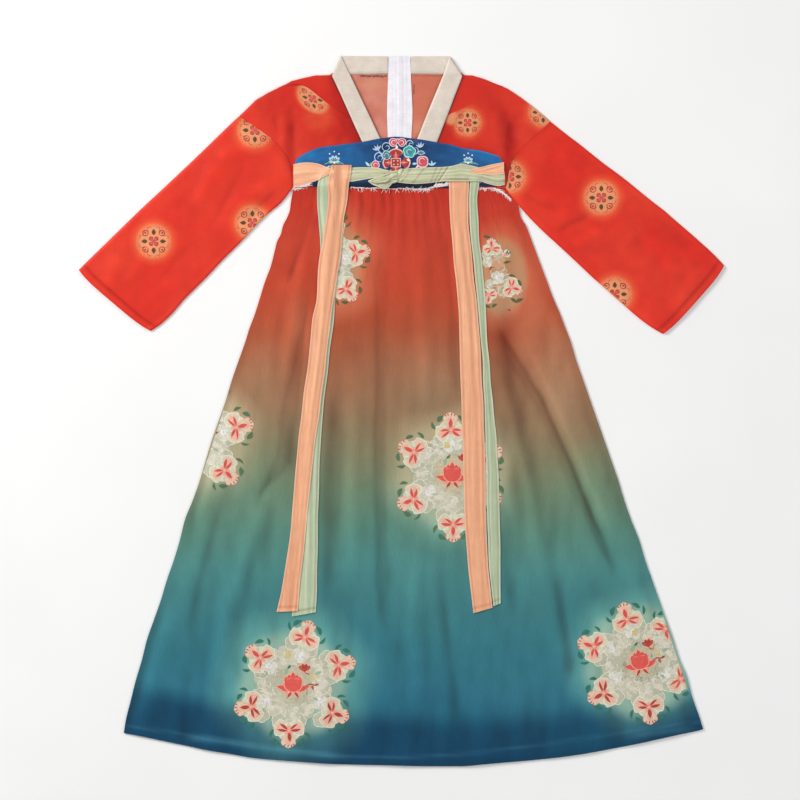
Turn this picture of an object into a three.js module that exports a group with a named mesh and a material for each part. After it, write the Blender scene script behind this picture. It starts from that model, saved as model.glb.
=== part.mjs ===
// Child's one-piece hanfu (chest-high skirt joined to a narrow-sleeved bodice), laid flat on its
// back. Millimetres, +Z up, +Y towards the neck. The origin is the bottom centre of the whole
// garment: z = 0 is the surface it lies on, and x = 0 is midway between the two cuffs.
import * as THREE from 'three';

// ---------------------------------------------------------------- driving dimensions
const WALL = 1.2;            // one layer of lined satin or chiffon
const GAP = 0.3;             // air between pieces at a seam, and between layers
const COLLAR_WALL = 2.4;     // collar strip, folded double
const TRIM_WALL = 1.0;       // frayed white edging under the chest band
const TAPE_WALL = 1.0;       // zip tape at the centre back
const WAIST_Y = 311.6;       // seam where the gathered skirt joins the bodice
const CENTRE_X = -2.8;       // centre-back seam, middle of the zip tape
const BACK_TOP = WALL;                    // upper face of the back panels
const FRONT_LOW = BACK_TOP + GAP;         // lower face of the front panels where flat
const FRONT_TOP = FRONT_LOW + WALL;       // upper face of the front panels where flat
const TIE_UNDER_Z = 4.5;     // ribbon ends that pass between band and belt
const BELT_Z = 6.0;          // lower face of the wrapped ribbon belt
const BELT_WALL = 1.2;       // ribbon cloth
const SLEEVE_TOP = 3.1;      // upper face of the flattened sleeve tube
const SLEEVE_EDGE = 1.2;     // how far the sleeve's folded edge rounds outwards
const BAND_BOTTOM_Y = 312.8; // lower edge of the blue chest band

// ---------------------------------------------------------------- tables
// Skirt: a row per level, with the left and right side seams.
const SKIRT = [
  { y: 311.6, l: -146.5, r: 144.0 }, { y: 301.0, l: -150.5, r: 149.5 },
  { y: 287.7, l: -154.0, r: 156.8 }, { y: 258.3, l: -163.8, r: 174.3 },
  { y: 225.0, l: -175.5, r: 187.5 }, { y: 185.0, l: -188.0, r: 202.8 },
  { y: 140.0, l: -203.0, r: 220.5 }, { y: 90.0, l: -219.6, r: 238.8 },
  { y: 35.0, l: -238.4, r: 258.4 }, { y: -27.3, l: -259.0, r: 279.3 },
  { y: -95.0, l: -281.4, r: 303.0 }, { y: -167.3, l: -305.2, r: 327.6 },
  { y: -240.0, l: -328.6, r: 353.0 }, { y: -307.3, l: -350.0, r: 375.9 },
  { y: -370.0, l: -368.4, r: 397.0 }, { y: -415.0, l: -380.4, r: 411.8 },
  { y: -448.7, l: -387.8, r: 422.8 },
];
// Hem: how far the edge hangs below the side corners, against its place across the skirt.
const HEM = [
  { u: 0, drop: 2 }, { u: 0.104, drop: 19.6 }, { u: 0.228, drop: 37 }, { u: 0.373, drop: 45.5 },
  { u: 0.528, drop: 49 }, { u: 0.663, drop: 44.1 }, { u: 0.767, drop: 35.7 },
  { u: 0.891, drop: 17.5 }, { u: 1, drop: -2 },
];
// Folds of the skirt front: place across the skirt at the fold's upper and lower end (u, 0 to 1),
// the levels where it starts and ends, half its width in u, and its height.
const SKIRT_FOLDS = [
  { uTop: 0.085, uEnd: 0.165, top: 290, end: -60, half: 0.05, high: 3.2 },
  { uTop: 0.200, uEnd: 0.145, top: -40, end: -520, half: 0.06, high: 4.0 },
  { uTop: 0.290, uEnd: 0.275, top: 230, end: -520, half: 0.05, high: 2.6 },
  { uTop: 0.360, uEnd: 0.368, top: 110, end: -400, half: 0.05, high: 3.6 },
  { uTop: 0.560, uEnd: 0.505, top: 300, end: 10, half: 0.06, high: 3.4 },
  { uTop: 0.520, uEnd: 0.560, top: -60, end: -520, half: 0.06, high: 3.0 },
  { uTop: 0.690, uEnd: 0.660, top: 80, end: -520, half: 0.05, high: 2.8 },
  { uTop: 0.760, uEnd: 0.772, top: 110, end: -330, half: 0.045, high: 3.8 },
  { uTop: 0.845, uEnd: 0.955, top: 170, end: -300, half: 0.05, high: 4.4 },
  { uTop: 0.900, uEnd: 0.840, top: -230, end: -520, half: 0.05, high: 2.6 },
];
const GATHERS = { top: 301, end: 225, high: 1.1 };  // small gathers below the waist seam

// Armholes, from the shoulder down to the waist seam.
const ARMHOLE_RIGHT = [
  { x: -226.8, y: 411.6 }, { x: -203.0, y: 396.2 }, { x: -180.6, y: 379.4 }, { x: -168.0, y: 366.1 },
  { x: -158.2, y: 352.1 }, { x: -153.3, y: 333.9 }, { x: -152.6, y: 322.5 }, { x: -151.9, y: 312.0 },
];
const ARMHOLE_LEFT = [
  { x: 208.6, y: 404.6 }, { x: 196.0, y: 391.3 }, { x: 179.2, y: 375.9 }, { x: 166.6, y: 364.0 },
  { x: 156.8, y: 350.7 }, { x: 151.2, y: 333.9 }, { x: 149.1, y: 322.5 }, { x: 146.3, y: 312.0 },
];
// Sleeves: a row per section from armhole to cuff, with the ends of its upper and lower folds.
const SLEEVE_RIGHT = [
  { s: 0.00, upX: -226.8, upY: 411.6, loX: -151.9, loY: 312.0 },
  { s: 0.12, upX: -256.0, upY: 386.5, loX: -180.5, loY: 279.5 },
  { s: 0.28, upX: -292.0, upY: 353.8, loX: -214.0, loY: 247.0 },
  { s: 0.46, upX: -335.5, upY: 312.0, loX: -256.0, loY: 203.8 },
  { s: 0.64, upX: -375.0, upY: 273.5, loX: -290.0, loY: 168.8 },
  { s: 0.82, upX: -414.0, upY: 236.0, loX: -322.0, loY: 136.8 },
  { s: 0.94, upX: -441.0, upY: 209.0, loX: -341.0, loY: 118.6 },
  { s: 1.00, upX: -452.2, upY: 197.6, loX: -350.0, loY: 111.0 },
];
const SLEEVE_LEFT = [
  { s: 0.00, upX: 208.6, upY: 404.6, loX: 146.3, loY: 312.0 },
  { s: 0.12, upX: 238.0, upY: 382.0, loX: 171.5, loY: 275.0 },
  { s: 0.28, upX: 282.0, upY: 346.5, loX: 209.0, loY: 242.0 },
  { s: 0.46, upX: 327.0, upY: 311.5, loX: 252.5, loY: 202.2 },
  { s: 0.64, upX: 368.5, upY: 279.0, loX: 291.5, loY: 166.4 },
  { s: 0.82, upX: 409.0, upY: 243.0, loX: 330.0, loY: 130.8 },
  { s: 0.94, upX: 440.0, upY: 214.0, loX: 355.5, loY: 112.0 },
  { s: 1.00, upX: 452.2, upY: 200.4, loX: 367.2, loY: 107.0 },
];
// Soft folds of sleeves and bodice: both ends, half width and height.
const CLOTH_FOLDS = [
  { x0: -300, y0: 330, x1: -262, y1: 232, half: 26, high: 1.6 },
  { x0: -258, y0: 372, x1: -196, y1: 300, half: 24, high: 1.8 },
  { x0: -395, y0: 232, x1: -330, y1: 160, half: 24, high: 1.3 },
  { x0: 214, y0: 262, x1: 276, y1: 236, half: 20, high: 2.2 },
  { x0: 262, y0: 330, x1: 238, y1: 250, half: 24, high: 1.6 },
  { x0: 352, y0: 250, x1: 392, y1: 180, half: 26, high: 1.8 },
  { x0: -140, y0: 440, x1: -136, y1: 350, half: 16, high: 1.3 },
  { x0: 128, y0: 440, x1: 138, y1: 345, half: 16, high: 1.4 },
  { x0: -110, y0: 400, x1: -78, y1: 352, half: 18, high: 1.0 },
];
// Front bodice, a row per level: armhole or shoulder edge, and neck or centre edge.
const FRONT_RIGHT_TOP = [
  { y: 362.0, in: -3.2 }, { y: 370.2, in: -53.0 }, { y: 379.4, in: -57.0 }, { y: 396.2, in: -64.6 },
  { y: 408.4, in: -70.6 }, { y: 411.6, in: -77.0 }, { y: 423.0, out: -214.6, in: -101.0 },
  { y: 434.7, out: -203.0, in: -125.6 }, { y: 444.5, out: -186.2, in: -146.2 },
  { y: 452.3, out: -170.0, in: -162.6 },
];
const FRONT_LEFT_TOP = [
  { y: 361.0, in: -2.4 }, { y: 370.2, in: 51.2 }, { y: 378.0, in: 53.8 }, { y: 391.3, in: 59.4 },
  { y: 404.6, in: 62.2 }, { y: 411.8, out: 199.4, in: 65.6 }, { y: 426.3, out: 183.4, in: 92.4 },
  { y: 438.9, out: 166.6, in: 116.0 }, { y: 451.0, out: 148.4, in: 138.8 },
];
// Back panels, a row per place across from the centre back to the armhole: waist or armhole below,
// neck or shoulder fold above, and where the part over the shoulder reaches its forward seam.
const BACK_RIGHT = [
  { x: -3.0, low: 312.0, top: 470.2 }, { x: -40.0, low: 312.0, top: 470.0 },
  { x: -74.0, low: 312.0, top: 469.2 }, { x: -98.0, low: 312.0, top: 468.2, seam: 422.4 },
  { x: -120.0, low: 312.0, top: 468.6, seam: 433.0 }, { x: -142.0, low: 312.0, top: 463.4, seam: 443.6 },
  { x: -151.9, low: 312.0, top: 459.6, seam: 448.4 }, { x: -153.4, low: 333.9, top: 459.0, seam: 449.2 },
  { x: -158.2, low: 352.1, top: 456.9, seam: 451.5 }, { x: -168.0, low: 366.1, top: 453.0 },
  { x: -180.6, low: 379.4, top: 447.0 }, { x: -203.0, low: 396.2, top: 434.7 },
  { x: -222.0, low: 408.5, top: 415.6 },
];
const BACK_LEFT = [
  { x: -2.6, low: 312.0, top: 470.2 }, { x: 32.0, low: 312.0, top: 470.0 },
  { x: 64.0, low: 312.0, top: 469.2 }, { x: 87.4, low: 312.0, top: 468.2, seam: 424.6 },
  { x: 106.0, low: 312.0, top: 467.6, seam: 434.8 }, { x: 124.0, low: 312.0, top: 460.4, seam: 444.2 },
  { x: 138.0, low: 312.0, top: 455.2, seam: 451.4 }, { x: 146.3, low: 312.0, top: 451.6 },
  { x: 149.1, low: 322.5, top: 450.0 }, { x: 151.2, low: 333.9, top: 448.6 },
  { x: 156.8, low: 350.7, top: 445.0 }, { x: 166.6, low: 364.0, top: 438.9 },
  { x: 179.2, low: 375.9, top: 429.6 }, { x: 196.0, low: 391.3, top: 415.8 },
  { x: 205.4, low: 401.2, top: 408.2 },
];
// Corners of the back beside the collar, in front of the shoulder.
const CORNER_RIGHT = [{ x: -86.0, seam: 416.6, top: 443.6 }, { x: -72.6, seam: 410.2, top: 414.0 }];
const CORNER_LEFT = [{ x: 79.0, seam: 420.2, top: 445.6 }, { x: 66.8, seam: 413.6, top: 417.2 }];
// Collar: a row per station from the centre back round the shoulder fold and down the front;
// sewn edge, free edge, and which side of the fold it is on.
const COLLAR_RIGHT = [
  { sx: -18.5, sy: 471.1, fx: -18.5, fy: 497.7, part: 'back' },
  { sx: -52.0, sy: 470.4, fx: -50.0, fy: 497.7, part: 'back' },
  { sx: -91.0, sy: 468.9, fx: -79.0, fy: 497.5, part: 'back' },
  { sx: -97.2, sy: 468.6, fx: -84.6, fy: 497.7, part: 'fold' },
  { sx: -92.6, sy: 461.4, fx: -78.8, fy: 489.4, part: 'over' },
  { sx: -88.4, sy: 452.6, fx: -72.6, fy: 471.6, part: 'over' },
  { sx: -80.0, sy: 433.6, fx: -63.2, fy: 452.6, part: 'front' },
  { sx: -68.0, sy: 406.6, fx: -48.2, fy: 420.6, part: 'front' },
  { sx: -52.6, sy: 372.4, fx: -26.0, fy: 374.4, part: 'front' },
];
const COLLAR_LEFT = [
  { sx: 12.9, sy: 471.1, fx: 12.9, fy: 497.7, part: 'back' },
  { sx: 42.0, sy: 470.4, fx: 40.0, fy: 497.7, part: 'back' },
  { sx: 80.6, sy: 469.0, fx: 64.4, fy: 497.5, part: 'back' },
  { sx: 86.6, sy: 468.6, fx: 69.2, fy: 497.7, part: 'fold' },
  { sx: 82.6, sy: 461.4, fx: 64.2, fy: 488.0, part: 'over' },
  { sx: 79.2, sy: 452.2, fx: 59.6, fy: 471.2, part: 'over' },
  { sx: 72.6, sy: 434.6, fx: 51.4, fy: 451.6, part: 'front' },
  { sx: 62.0, sy: 406.8, fx: 38.6, fy: 419.6, part: 'front' },
  { sx: 49.6, sy: 372.4, fx: 20.4, fy: 374.4, part: 'front' },
];
// Blue chest band: its curved upper edge.
const BAND = [
  { x: -149.8, top: 345.0 }, { x: -137.2, top: 357.7 }, { x: -121.0, top: 366.2 },
  { x: -91.0, top: 370.8 }, { x: -62.0, top: 374.4 }, { x: -29.4, top: 379.8 },
  { x: -4.2, top: 383.0 }, { x: 25.0, top: 379.2 }, { x: 50.4, top: 375.2 },
  { x: 86.8, top: 367.0 }, { x: 118.0, top: 362.0 }, { x: 136.6, top: 354.8 },
  { x: 144.0, top: 345.0 },
];
// Frayed trim below the band: lower and upper edge.
const TRIM = [
  { x: -150.0, low: 305.4, up: 311.4 }, { x: -128.0, low: 307.4, up: 311.5 },
  { x: -90.0, low: 306.2, up: 311.5 }, { x: -40.0, low: 305.4, up: 311.5 },
  { x: 0.0, low: 305.0, up: 311.5 }, { x: 50.0, low: 306.0, up: 311.5 },
  { x: 110.0, low: 306.4, up: 311.5 }, { x: 134.0, low: 304.4, up: 311.5 },
  { x: 146.4, low: 296.0, up: 309.2 }, { x: 152.4, low: 290.6, up: 300.4 },
];
// Ribbon belt over the band: lower and upper edge, and how far it stands above the belt's base.
const BELT_PEACH_RIGHT = [
  { x: -151.2, low: 312.2, up: 343.4, lift: 0 }, { x: -132.0, low: 316.4, up: 346.2, lift: 0.4 },
  { x: -117.0, low: 321.2, up: 345.0, lift: 0 }, { x: -98.0, low: 324.0, up: 340.4, lift: 0 },
];
const BELT_GREEN_RIGHT = [
  { x: -88.0, low: 320.6, up: 339.6, lift: 0 }, { x: -66.0, low: 321.2, up: 339.4, lift: 0 },
  { x: -44.0, low: 325.4, up: 339.0, lift: 0 }, { x: -24.0, low: 328.8, up: 337.6, lift: 0 },
  { x: -6.0, low: 329.8, up: 334.6, lift: 0 },
];
const BELT_GREEN_LEFT = [
  { x: -45.0, low: 321.4, up: 325.0, lift: 1.6 }, { x: -30.0, low: 314.8, up: 327.2, lift: 2.0 },
  { x: -14.0, low: 317.0, up: 332.4, lift: 2.6 }, { x: 6.0, low: 318.0, up: 337.4, lift: 2.2 },
  { x: 30.0, low: 317.6, up: 339.0, lift: 0.8 }, { x: 56.0, low: 318.0, up: 340.4, lift: 0.6 },
  { x: 86.0, low: 319.2, up: 345.0, lift: 0.4 }, { x: 110.0, low: 319.0, up: 339.6, lift: 0 },
  { x: 128.0, low: 316.4, up: 334.2, lift: 0 }, { x: 145.0, low: 314.6, up: 333.0, lift: 0 },
];
const BELT_PEACH_LEFT = [
  { x: 111.4, low: 340.0, up: 341.8, lift: 0 }, { x: 127.0, low: 334.9, up: 343.4, lift: 0 },
  { x: 144.0, low: 333.7, up: 345.4, lift: 0 },
];
// Hanging ribbon ends: left and right edge against level.
const TIE_PEACH_RIGHT = [
  { y: 342.0, l: -96.0, r: -68.6 }, { y: 330.0, l: -99.6, r: -70.0 }, { y: 317.6, l: -102.6, r: -72.4 },
  { y: 294.7, l: -101.4, r: -74.6 }, { y: 266.7, l: -104.6, r: -79.6 }, { y: 238.7, l: -109.4, r: -82.4 },
  { y: 210.7, l: -114.6, r: -85.0 }, { y: 182.7, l: -116.4, r: -89.6 }, { y: 154.7, l: -118.0, r: -94.0 },
  { y: 126.7, l: -124.0, r: -98.0 }, { y: 84.7, l: -128.0, r: -103.4 }, { y: 42.7, l: -133.2, r: -107.8 },
  { y: 0.7, l: -138.6, r: -113.4 }, { y: -41.3, l: -143.6, r: -119.6 }, { y: -83.3, l: -147.6, r: -124.6 },
  { y: -125.3, l: -150.8, r: -129.0 }, { y: -167.3, l: -154.4, r: -133.0 }, { y: -209.3, l: -160.2, r: -137.2 },
  { y: -245.0, l: -166.0, r: -141.6 }, { y: -280.7, l: -173.6, r: -144.2 },
];
const TIE_GREEN_RIGHT = [
  { y: 340.8, l: -101.0, r: -93.0 }, { y: 331.0, l: -112.0, r: -92.0 }, { y: 317.6, l: -118.6, r: -93.4 },
  { y: 294.7, l: -117.4, r: -92.0 }, { y: 266.7, l: -115.0, r: -90.4 }, { y: 238.7, l: -113.4, r: -88.6 },
  { y: 210.7, l: -113.0, r: -88.4 }, { y: 182.7, l: -114.6, r: -90.8 }, { y: 154.7, l: -115.6, r: -92.0 },
  { y: 126.7, l: -118.0, r: -94.0 }, { y: 84.7, l: -122.0, r: -99.0 }, { y: 42.7, l: -128.0, r: -104.0 },
  { y: 0.7, l: -133.0, r: -109.0 }, { y: -41.3, l: -136.0, r: -112.0 }, { y: -83.3, l: -138.0, r: -114.0 },
  { y: -125.3, l: -140.4, r: -115.4 }, { y: -167.3, l: -141.4, r: -116.4 }, { y: -209.3, l: -142.4, r: -117.0 },
  { y: -245.0, l: -144.4, r: -117.6 }, { y: -287.0, l: -152.6, r: -119.4 },
];
const TIE_PEACH_LEFT = [
  { y: 331.0, l: 66.6, r: 93.6 }, { y: 317.6, l: 66.8, r: 95.0 }, { y: 294.7, l: 67.2, r: 93.8 },
  { y: 266.7, l: 68.6, r: 93.8 }, { y: 238.7, l: 71.4, r: 96.6 }, { y: 210.7, l: 73.2, r: 99.4 },
  { y: 182.7, l: 77.0, r: 102.2 }, { y: 154.7, l: 78.6, r: 105.0 }, { y: 126.7, l: 81.0, r: 107.8 },
  { y: 84.7, l: 82.2, r: 111.4 }, { y: 42.7, l: 83.6, r: 113.2 }, { y: 0.7, l: 84.6, r: 115.4 },
  { y: -41.3, l: 86.0, r: 116.4 }, { y: -83.3, l: 87.4, r: 118.2 }, { y: -125.3, l: 88.0, r: 118.2 },
  { y: -167.3, l: 89.8, r: 119.4 }, { y: -209.3, l: 92.8, r: 121.0 }, { y: -245.0, l: 96.6, r: 124.6 },
  { y: -281.4, l: 101.4, r: 128.8 },
];
const TIE_GREEN_LEFT = [
  { y: 331.0, l: 97.0, r: 111.0 }, { y: 317.6, l: 96.4, r: 109.4 }, { y: 294.7, l: 95.4, r: 106.6 },
  { y: 266.7, l: 95.4, r: 107.8 }, { y: 238.7, l: 98.2, r: 109.6 }, { y: 210.7, l: 101.0, r: 112.6 },
  { y: 182.7, l: 103.8, r: 115.4 }, { y: 154.7, l: 106.6, r: 117.8 }, { y: 126.7, l: 109.4, r: 119.4 },
  { y: 84.7, l: 113.0, r: 121.8 }, { y: 42.7, l: 114.8, r: 125.4 }, { y: 0.7, l: 117.0, r: 129.4 },
  { y: -41.3, l: 118.0, r: 133.4 }, { y: -83.3, l: 119.8, r: 136.2 }, { y: -125.3, l: 119.8, r: 137.4 },
  { y: -167.3, l: 121.0, r: 138.2 }, { y: -209.3, l: 122.6, r: 139.0 }, { y: -245.0, l: 126.2, r: 139.2 },
  { y: -272.4, l: 129.4, r: 139.6 },
];

const COLOUR = {
  red: 0xd8402f, teal: 0x3d7d80, inside: 0xcf7464, blue: 0x2268a0, peach: 0xf0b48e,
  green: 0xb6c4a2, collar: 0xdcd2c4, white: 0xeeeaf0,
};

// ---------------------------------------------------------------- working shapes out
const smooth = (t) => { const c = Math.min(1, Math.max(0, t)); return c * c * (3 - 2 * c); };
const mix = (a, b, t) => a + (b - a) * t;

// Value of a column of a table at a key, straight between rows.
function look(table, key, at, column) {
  const up = table[table.length - 1][key] > table[0][key];
  for (let i = 1; i < table.length; i++) {
    const a = table[i - 1], b = table[i];
    const inside = up ? at <= b[key] : at >= b[key];
    if (inside || i === table.length - 1) {
      const t = Math.min(1, Math.max(0, (at - a[key]) / (b[key] - a[key])));
      return mix(a[column], b[column], t);
    }
  }
  return table[0][column];
}

// Height that a straight fold adds: a soft ridge that fades at both ends.
function ridge(x, y, f) {
  const dx = f.x1 - f.x0, dy = f.y1 - f.y0, long = Math.hypot(dx, dy);
  const t = ((x - f.x0) * dx + (y - f.y0) * dy) / (long * long);
  const d = Math.abs((x - f.x0) * dy - (y - f.y0) * dx) / long / f.half;
  if (t <= 0 || t >= 1 || d >= 1) return 0;
  return f.high * Math.cos(d * Math.PI / 2) ** 2 * smooth(t / 0.3) * smooth((1 - t) / 0.3);
}
const clothFolds = (x, y) => CLOTH_FOLDS.reduce((sum, f) => sum + ridge(x, y, f), 0);

// Height of the skirt front above its flat level at (u across, y).
function skirtFolds(u, y) {
  let z = 0;
  for (const f of SKIRT_FOLDS) {
    if (y > f.top || y < f.end) continue;
    const t = (f.top - y) / (f.top - f.end);
    const d = Math.abs(u - mix(f.uTop, f.uEnd, t)) / f.half;
    if (d < 1) z += f.high * Math.cos(d * Math.PI / 2) ** 2 * smooth(t / 0.25) * smooth((1 - t) / 0.25);
  }
  return Math.min(z, 4.6) * smooth(Math.min(u, 1 - u) / 0.05);
}
const gatherShare = (y) => (y > GATHERS.top || y < GATHERS.end ? 0
  : smooth((GATHERS.top - y) / 14) * smooth((y - GATHERS.end) / 60));

// Upper face of the skirt front, as an envelope over its gathers.
function skirtTop(x, y) {
  const l = look(SKIRT, 'y', y, 'l'), r = look(SKIRT, 'y', y, 'r');
  const u = Math.min(1, Math.max(0, (x - l) / (r - l)));
  return FRONT_TOP + skirtFolds(u, y) + GATHERS.high * gatherShare(y);
}
// The fronts rise a little where they lie over the zip tape.
const tapeLift = (x, y, wider = 0) => (y > 368 ? 0 : 1.5 * (1 - smooth((Math.abs(x - CENTRE_X) - 22 - wider) / 12)));
const bodiceTop = (x, y) => FRONT_TOP + tapeLift(x, y) + clothFolds(x, y) * (Math.abs(x) < 152 ? 1 : 0);
// Lower face of the chest band: it clears the bodice, and the collar ends near its upper edge.
function bandLow(x, y) {
  const collar = smooth((y - 348) / 16) * (1 - smooth((Math.abs(x) - 66) / 26));
  return Math.max(FRONT_TOP + GAP + 1.3 * collar, FRONT_TOP + GAP + tapeLift(x, y, 12), bodiceTop(x, y) + GAP + 0.25);
}
const bandTop = (x, y) => bandLow(x, y) + WALL;

// Highest point of a surface within a small window, so what lies on it stays clear.
function clear(surface, x, y, dx, dy) {
  let z = -Infinity;
  for (let i = -2; i <= 2; i++) for (let j = -2; j <= 2; j++) z = Math.max(z, surface(x + i * dx / 2, y + j * dy / 2));
  return z + GAP + 0.12;
}

// ---------------------------------------------------------------- solids
function meshOf(name, points, faces, colour, roughness) {
  let volume = 0;
  for (const [a, b, c] of faces) {
    const [p, q, r] = [points[a], points[b], points[c]];
    volume += (p[0] * (q[1] * r[2] - q[2] * r[1]) - p[1] * (q[0] * r[2] - q[2] * r[0]) + p[2] * (q[0] * r[1] - q[1] * r[0])) / 6;
  }
  const index = volume > 0 ? faces.flat() : faces.map(([a, b, c]) => [a, c, b]).flat();
  const geometry = new THREE.BufferGeometry();
  geometry.setAttribute('position', new THREE.Float32BufferAttribute(points.flat(), 3));
  geometry.setIndex(index);
  geometry.computeVertexNormals();
  const mesh = new THREE.Mesh(geometry, new THREE.MeshStandardMaterial({ color: colour, roughness, metalness: 0 }));
  mesh.name = name;
  return mesh;
}

// Closed wall between two grids of points with the same rows and columns.
function wall(name, over, under, colour, roughness = 0.6) {
  const rows = over.length, cols = over[0].length, n = rows * cols;
  const points = [...over.flat(), ...under.flat()];
  const at = (i, j) => i * cols + j;
  const faces = [];
  for (let i = 0; i + 1 < rows; i++) for (let j = 0; j + 1 < cols; j++) {
    const [a, b, c, d] = [at(i, j), at(i, j + 1), at(i + 1, j + 1), at(i + 1, j)];
    faces.push([a, b, c], [a, c, d], [n + a, n + c, n + b], [n + a, n + d, n + c]);
  }
  const rim = [];
  for (let j = 0; j < cols; j++) rim.push(at(0, j));
  for (let i = 1; i < rows; i++) rim.push(at(i, cols - 1));
  for (let j = cols - 2; j >= 0; j--) rim.push(at(rows - 1, j));
  for (let i = rows - 2; i > 0; i--) rim.push(at(i, 0));
  rim.forEach((a, k) => {
    const b = rim[(k + 1) % rim.length];
    faces.push([a, n + b, b], [a, n + a, n + b]);
  });
  return meshOf(name, points, faces, colour, roughness);
}

// Closed wall of an open-ended tube: outer and inner rings with the same number of points.
function tube(name, outer, inner, colour, roughness = 0.6) {
  const rows = outer.length, cols = outer[0].length, n = rows * cols;
  const points = [...outer.flat(), ...inner.flat()];
  const at = (i, j) => i * cols + (j % cols);
  const faces = [];
  for (let i = 0; i + 1 < rows; i++) for (let j = 0; j < cols; j++) {
    const [a, b, c, d] = [at(i, j), at(i, j + 1), at(i + 1, j + 1), at(i + 1, j)];
    faces.push([a, b, c], [a, c, d], [n + a, n + c, n + b], [n + a, n + d, n + c]);
  }
  for (let j = 0; j < cols; j++) {
    const [a, b] = [at(0, j), at(0, j + 1)];
    faces.push([a, n + b, b], [a, n + a, n + b]);
    const [c, d] = [at(rows - 1, j), at(rows - 1, j + 1)];
    faces.push([c, d, n + d], [c, n + d, n + c]);
  }
  return meshOf(name, points, faces, colour, roughness);
}

// ---------------------------------------------------------------- skirt
const SKIRT_COLUMNS = 40;
function skirtPoint(row, u) {
  const y = row.y - look(HEM, 'u', u, 'drop') * smooth((-280 - row.y) / 168.7);
  return [mix(row.l, row.r, u), y];
}
function skirtFront() {
  const over = [], under = [];
  for (const row of SKIRT) {
    const a = [], b = [];
    for (let j = 0; j <= SKIRT_COLUMNS; j++) {
      const u = j / SKIRT_COLUMNS;
      const [x, y] = skirtPoint(row, u);
      const z = skirtFolds(u, row.y) + (j % 2 ? GATHERS.high * gatherShare(row.y) : 0) * (j > 0 && j < SKIRT_COLUMNS);
      a.push([x, y, FRONT_TOP + z]);
      b.push([x, y, FRONT_LOW + z]);
    }
    over.push(a); under.push(b);
  }
  return wall('skirt_front', over, under, COLOUR.teal, 0.55);
}
function skirtBack() {
  const places = HEM.map((h) => h.u);
  const rows = SKIRT.filter((row, i) => i % 2 === 0);
  const grid = (z) => rows.map((row) => places.map((u) => [...skirtPoint(row, u), z]));
  return wall('skirt_back', grid(BACK_TOP), grid(0), COLOUR.teal, 0.6);
}

// ---------------------------------------------------------------- bodice
// Rows of a bodice panel: the armhole from the waist up, then the given rows above it.
function bodiceRows(armhole, upper, centre) {
  const rows = [];
  for (const a of [...armhole].reverse()) if (a.y < upper[0].y - 4) rows.push({ y: a.y, out: a.x, in: centre });
  for (const r of upper) rows.push({ y: r.y, out: r.out ?? look([...armhole].reverse(), 'y', r.y, 'x'), in: r.in });
  return rows;
}
const BODICE_COLUMNS = [0, 0.2, 0.4, 0.6, 0.76, 0.86, 1];
function bodiceFront(name, armhole, upper, centre) {
  const over = [], under = [];
  for (const row of bodiceRows(armhole, upper, centre)) {
    const a = [], b = [];
    BODICE_COLUMNS.forEach((t, j) => {
      const x = mix(row.out, row.in, t);
      const z = tapeLift(x, row.y) + clothFolds(x, row.y) * (j > 0 && j < 6 ? 1 : 0);
      a.push([x, row.y, FRONT_TOP + z]); b.push([x, row.y, FRONT_LOW + z]);
    });
    over.push(a); under.push(b);
  }
  return wall(name, over, under, COLOUR.red, 0.5);
}

// Closed solid of a cloth panel of any layout: each vertex has a point on the outer face (a) and one
// on the inner face (b); quads join them, and the open edges are closed by a rim.
function panel(name, vertices, quads, colour, roughness = 0.6) {
  const n = vertices.length;
  const points = [...vertices.map((v) => v.a), ...vertices.map((v) => v.b)];
  const faces = [], open = new Map();
  for (const [p, q, r, t] of quads) {
    faces.push([p, q, r], [p, r, t], [n + p, n + r, n + q], [n + p, n + t, n + r]);
    for (const [e, f] of [[p, q], [q, r], [r, t], [t, p]]) {
      if (open.has(`${f},${e}`)) open.delete(`${f},${e}`); else open.set(`${e},${f}`, [e, f]);
    }
  }
  for (const [e, f] of open.values()) faces.push([e, n + f, f], [e, n + e, n + f]);
  return meshOf(name, points, faces, colour, roughness);
}

// Back panel: flat from the waist to the neck, and over the shoulder to the forward seam.
function bodiceBack(name, columns, shoulder) {
  const vertices = [], quads = [];
  const put = (a, b) => vertices.push({ a, b }) - 1;
  const grid = columns.map((c) => {
    const rows = [0, 0.5].map((t) => {
      const y = mix(c.low, c.top, t);
      return put([c.x, y, 0], [c.x, y, BACK_TOP]);
    });
    if (c.seam === undefined) rows.push(put([c.x, c.top, 0], [c.x, c.top, BACK_TOP]));
    else {
      rows.push(put([c.x, c.top - 0.5, 0], [c.x, c.top - 1.5, BACK_TOP]));
      rows.push(put([c.x, c.top, FRONT_TOP / 2], [c.x, c.top - 1.6, FRONT_TOP / 2]));
      rows.push(put([c.x, c.top - 0.5, FRONT_TOP], [c.x, c.top - 1.5, FRONT_LOW]));
      rows.push(put([c.x, c.seam, FRONT_TOP], [c.x, c.seam, FRONT_LOW]));
    }
    return rows;
  });
  for (let i = 0; i + 1 < grid.length; i++) {
    const rows = Math.min(grid[i].length, grid[i + 1].length);
    for (let j = 0; j + 1 < rows; j++) quads.push([grid[i][j], grid[i + 1][j], grid[i + 1][j + 1], grid[i][j + 1]]);
  }
  // the corner beside the collar: from the column nearest the neck that turns over
  const last = grid[columns.findIndex((c) => c.seam !== undefined)];
  let near = [last[4], last[5]];
  for (const s of shoulder) {
    const next = [put([s.x, s.top, FRONT_TOP], [s.x, s.top, FRONT_LOW]), put([s.x, s.seam, FRONT_TOP], [s.x, s.seam, FRONT_LOW])];
    quads.push([next[0], near[0], near[1], next[1]]);
    near = next;
  }
  return panel(name, vertices, quads, COLOUR.inside, 0.6);
}

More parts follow.
